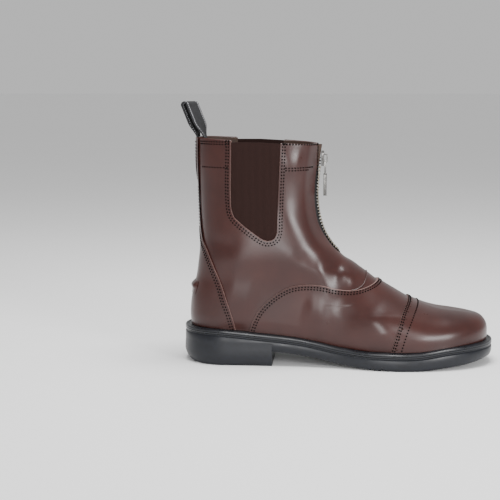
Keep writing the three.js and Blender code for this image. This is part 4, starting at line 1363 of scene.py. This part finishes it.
def make_zip():
    """The zip's cloth tape in its slot, and the closed chain of teeth below the slider."""
    piece = layer("zip_tape_cloth", TAPE_FACE - TAPE_THICKNESS, TAPE_FACE, tape_cloth, tape_cloth)
    with_cutter(piece, front_prism(slot_outline(GAP, COLLAR - 3), tape_cloth), "INTERSECT")
    finished(smooth_shaded(piece), "zip_tape")
    heights = np.linspace(CHAIN_FOOT, CHAIN_TOP, 80)
    chain = np.array([front_centre(z, TAPE_FACE + CHAIN_STAND) for z in heights])
    piece = made_along([chain], tooth_tree(), "zip_chain", tooth_metal, **TEETH)
    finished(eased(piece, 0.2, 1, "ANGLE"), "zip_teeth")


def solid_copy(node, name, material):
    """A copy of a solid with its doubles merged and its edges eased."""
    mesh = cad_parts[node].data.copy()
    shape = bmesh.new()
    shape.from_mesh(mesh)
    bmesh.ops.remove_doubles(shape, verts=shape.verts, dist=1e-6)
    bmesh.ops.dissolve_limit(shape, angle_limit=math.radians(2), verts=shape.verts, edges=shape.edges)
    shape.to_mesh(mesh)
    shape.free()
    mesh.materials.clear()
    mesh.materials.append(material)
    return smooth_shaded(eased(new_object(name, mesh), 0.3, 3, "ANGLE"), 40)


def make_slider():
    """The zip's slider, and its pull tab on the body that swings."""
    finished(solid_copy("zip_slider", "zip_slider_metal", zip_metal), "zip_slider")
    finished(solid_copy("zip_pull", "zip_pull_metal", zip_metal), "zip_pull", "zip_tab")


GUARD_HALF = 17.0
GUARD_TOP = COLLAR - 3.5
GUARD_FOOT = FOOT_HEIGHT - 2
GUARD_THICKNESS = 1.4


def make_guard():
    """Leather flap behind the zip, with a rounded top."""
    turns = np.linspace(0, np.pi, 25)
    crown = GUARD_HALF * 0.6
    outline = [(GUARD_HALF * math.cos(t), GUARD_TOP - crown * (1 - math.sin(t))) for t in turns]
    outline += [(-GUARD_HALF, GUARD_FOOT), (GUARD_HALF, GUARD_FOOT)]
    face = -WALL - GAP
    piece = layer("zip_guard_leather", face - GUARD_THICKNESS, face, guard_leather, lining)
    with_cutter(piece, front_prism(outline), "INTERSECT")
    finished(smooth_shaded(piece), "zip_guard")


# Pull loop: a band folded over itself, leaning back and twisted as it rises
LOOP_THICKNESS = 1.6
LOOP_RISE = 33.0
LOOP_GAP = 4.4
LOOP_LEAN = 12.5
LOOP_TWIST = math.radians(27)
LOOP_TWIST_RISE = 14.0
LOOP_SEWN = 12.0
LOOP_HALF = 10.0
# One face of the band's section between its edges: place across and half thickness
LOOP_FACE = [(-9.7, 0.62), *((y, 0.8) for y in (-9, -6, -3, 0, 3, 6, 9)), (9.7, 0.62)]


def loop_lean(z):
    """How far the loop leans back at a height."""
    return -LOOP_LEAN * max(0.0, (z - COLLAR) / LOOP_RISE) ** 1.1


def make_pull_loop():
    """Webbing loop that leans back over the heel, its ends sewn at the collar."""
    foot = float(back_x(COLLAR)) + (WALL - LOOP_THICKNESS) / 2
    middle = foot + LOOP_THICKNESS + LOOP_GAP / 2
    radius = LOOP_GAP / 2 + LOOP_THICKNESS / 2
    crown = COLLAR + LOOP_RISE - LOOP_THICKNESS - LOOP_GAP / 2
    path = [(middle - radius + loop_lean(z), z) for z in np.linspace(COLLAR + GAP, crown, 26)]
    for turn in np.linspace(np.pi, 0, 19)[1:-1]:
        path.append((middle + radius * math.cos(turn) + loop_lean(crown), crown + radius * math.sin(turn)))
    path += [(middle + radius + loop_lean(z), z) for z in np.linspace(crown, COLLAR - LOOP_SEWN, 32)]
    path = evenly(np.array(path), 90)
    onward = np.gradient(path, axis=0)
    onward /= np.linalg.norm(onward, axis=1, keepdims=True)
    outside = np.stack([-onward[:, 1], onward[:, 0]], axis=1)
    run = np.concatenate([[0], np.cumsum(np.linalg.norm(np.diff(path, axis=0), axis=1))])
    far_face = [(y, -out) for y, out in LOOP_FACE[::-1]]
    section = [(-LOOP_HALF, 0.0), *LOOP_FACE, (LOOP_HALF, 0.0), *far_face]
    points, bands = [], []
    for place, normal, length in zip(path, outside, run):
        for y, out in section:
            x, z = place[0] + normal[0] * out, place[1] + normal[1] * out
            turn = -LOOP_TWIST * float(smooth((z - COLLAR) / LOOP_TWIST_RISE))
            axis = middle + loop_lean(z)
            points.append((axis + (x - axis) * math.cos(turn) - y * math.sin(turn),
                           (x - axis) * math.sin(turn) + y * math.cos(turn), z))
            bands.append((y, length))
    count = len(section)
    faces = [tuple(range(count)), tuple(range(len(points) - 1, len(points) - count - 1, -1))]
    for row in range(len(path) - 1):
        for column in range(count):
            following = (column + 1) % count
            faces.append((row * count + column, (row + 1) * count + column,
                          (row + 1) * count + following, row * count + following))
    piece = piece_of("loop_webbing", points, faces, webbing)
    mesh = piece.data
    band = mesh.uv_layers.new(name="band")
    for loop in mesh.loops:
        band.data[loop.index].uv = bands[loop.vertex_index]
    shape = bmesh.new()
    shape.from_mesh(mesh)
    bmesh.ops.recalc_face_normals(shape, faces=shape.faces)
    shape.to_mesh(mesh)
    shape.free()
    finished(smooth_shaded(piece, 60), "pull_loop")


make_upper()
make_counter()
make_vamp()
make_toe_cap()
make_gores()
make_spur_rest()
make_welt()
make_sock()
make_outsole()
make_seams()
make_tongue_edge()
make_zip()
make_slider()
make_guard()
make_pull_loop()

# Studio: a pale floor, a soft sky and large lights round the boot
FLOOR_REACH = 40000.0


def make_floor():
    """The floor, a thin slab whose face lies at height 0."""
    material, tree, surface = shader("studio floor")
    tone = ramp(tree, noise(tree, place_of(tree), scale=3), ((0, grey(0.93)), (1, grey(0.96))))
    tree.links.new(tone, surface.inputs["Base Color"])
    surface.inputs["Roughness"].default_value = 0.9
    span = (-FLOOR_REACH, FLOOR_REACH, -FLOOR_REACH, FLOOR_REACH, -10, 0)
    box("floor", span, material)


def make_sky():
    """Even white light from all round."""
    world = bpy.data.worlds.new("studio")
    world.use_nodes = True
    background = world.node_tree.nodes["Background"]
    background.inputs["Color"].default_value = (1, 1, 1, 1)
    background.inputs["Strength"].default_value = 0.62
    bpy.context.scene.world = world


def soft_light(name, place, aim, size, power):
    """A large oblong light at a place, facing another, both in metres."""
    lamp = bpy.data.lights.new(name, "AREA")
    lamp.shape = "RECTANGLE"
    lamp.size, lamp.size_y = size
    lamp.energy = power
    holder = new_object(name, lamp)
    holder.location = place
    holder.rotation_euler = (Vector(aim) - Vector(place)).to_track_quat("-Z", "Y").to_euler()


def make_camera():
    """The camera at the photograph's angle."""
    lens = bpy.data.cameras.new("camera")
    lens.sensor_width = 36.0
    lens.lens = 91.8
    lens.clip_start = 0.01
    lens.clip_end = 20
    camera = new_object("camera", lens)
    camera.location = (0.1101, -1.1750, 0.262)
    camera.rotation_euler = (math.radians(82.273), 0, math.radians(4.5))
    bpy.context.scene.camera = camera


make_floor()
make_sky()
soft_light("over", (0.10, -0.05, 1.15), (0.08, 0, 0), (0.70, 0.40), 16)
soft_light("low", (0.06, -1.45, 0.25), (0.08, 0, 0.08), (0.42, 0.42), 8)
soft_light("front", (0.98, -1.05, 0.40), (0.10, 0, 0.08), (0.36, 0.44), 13)
make_camera()
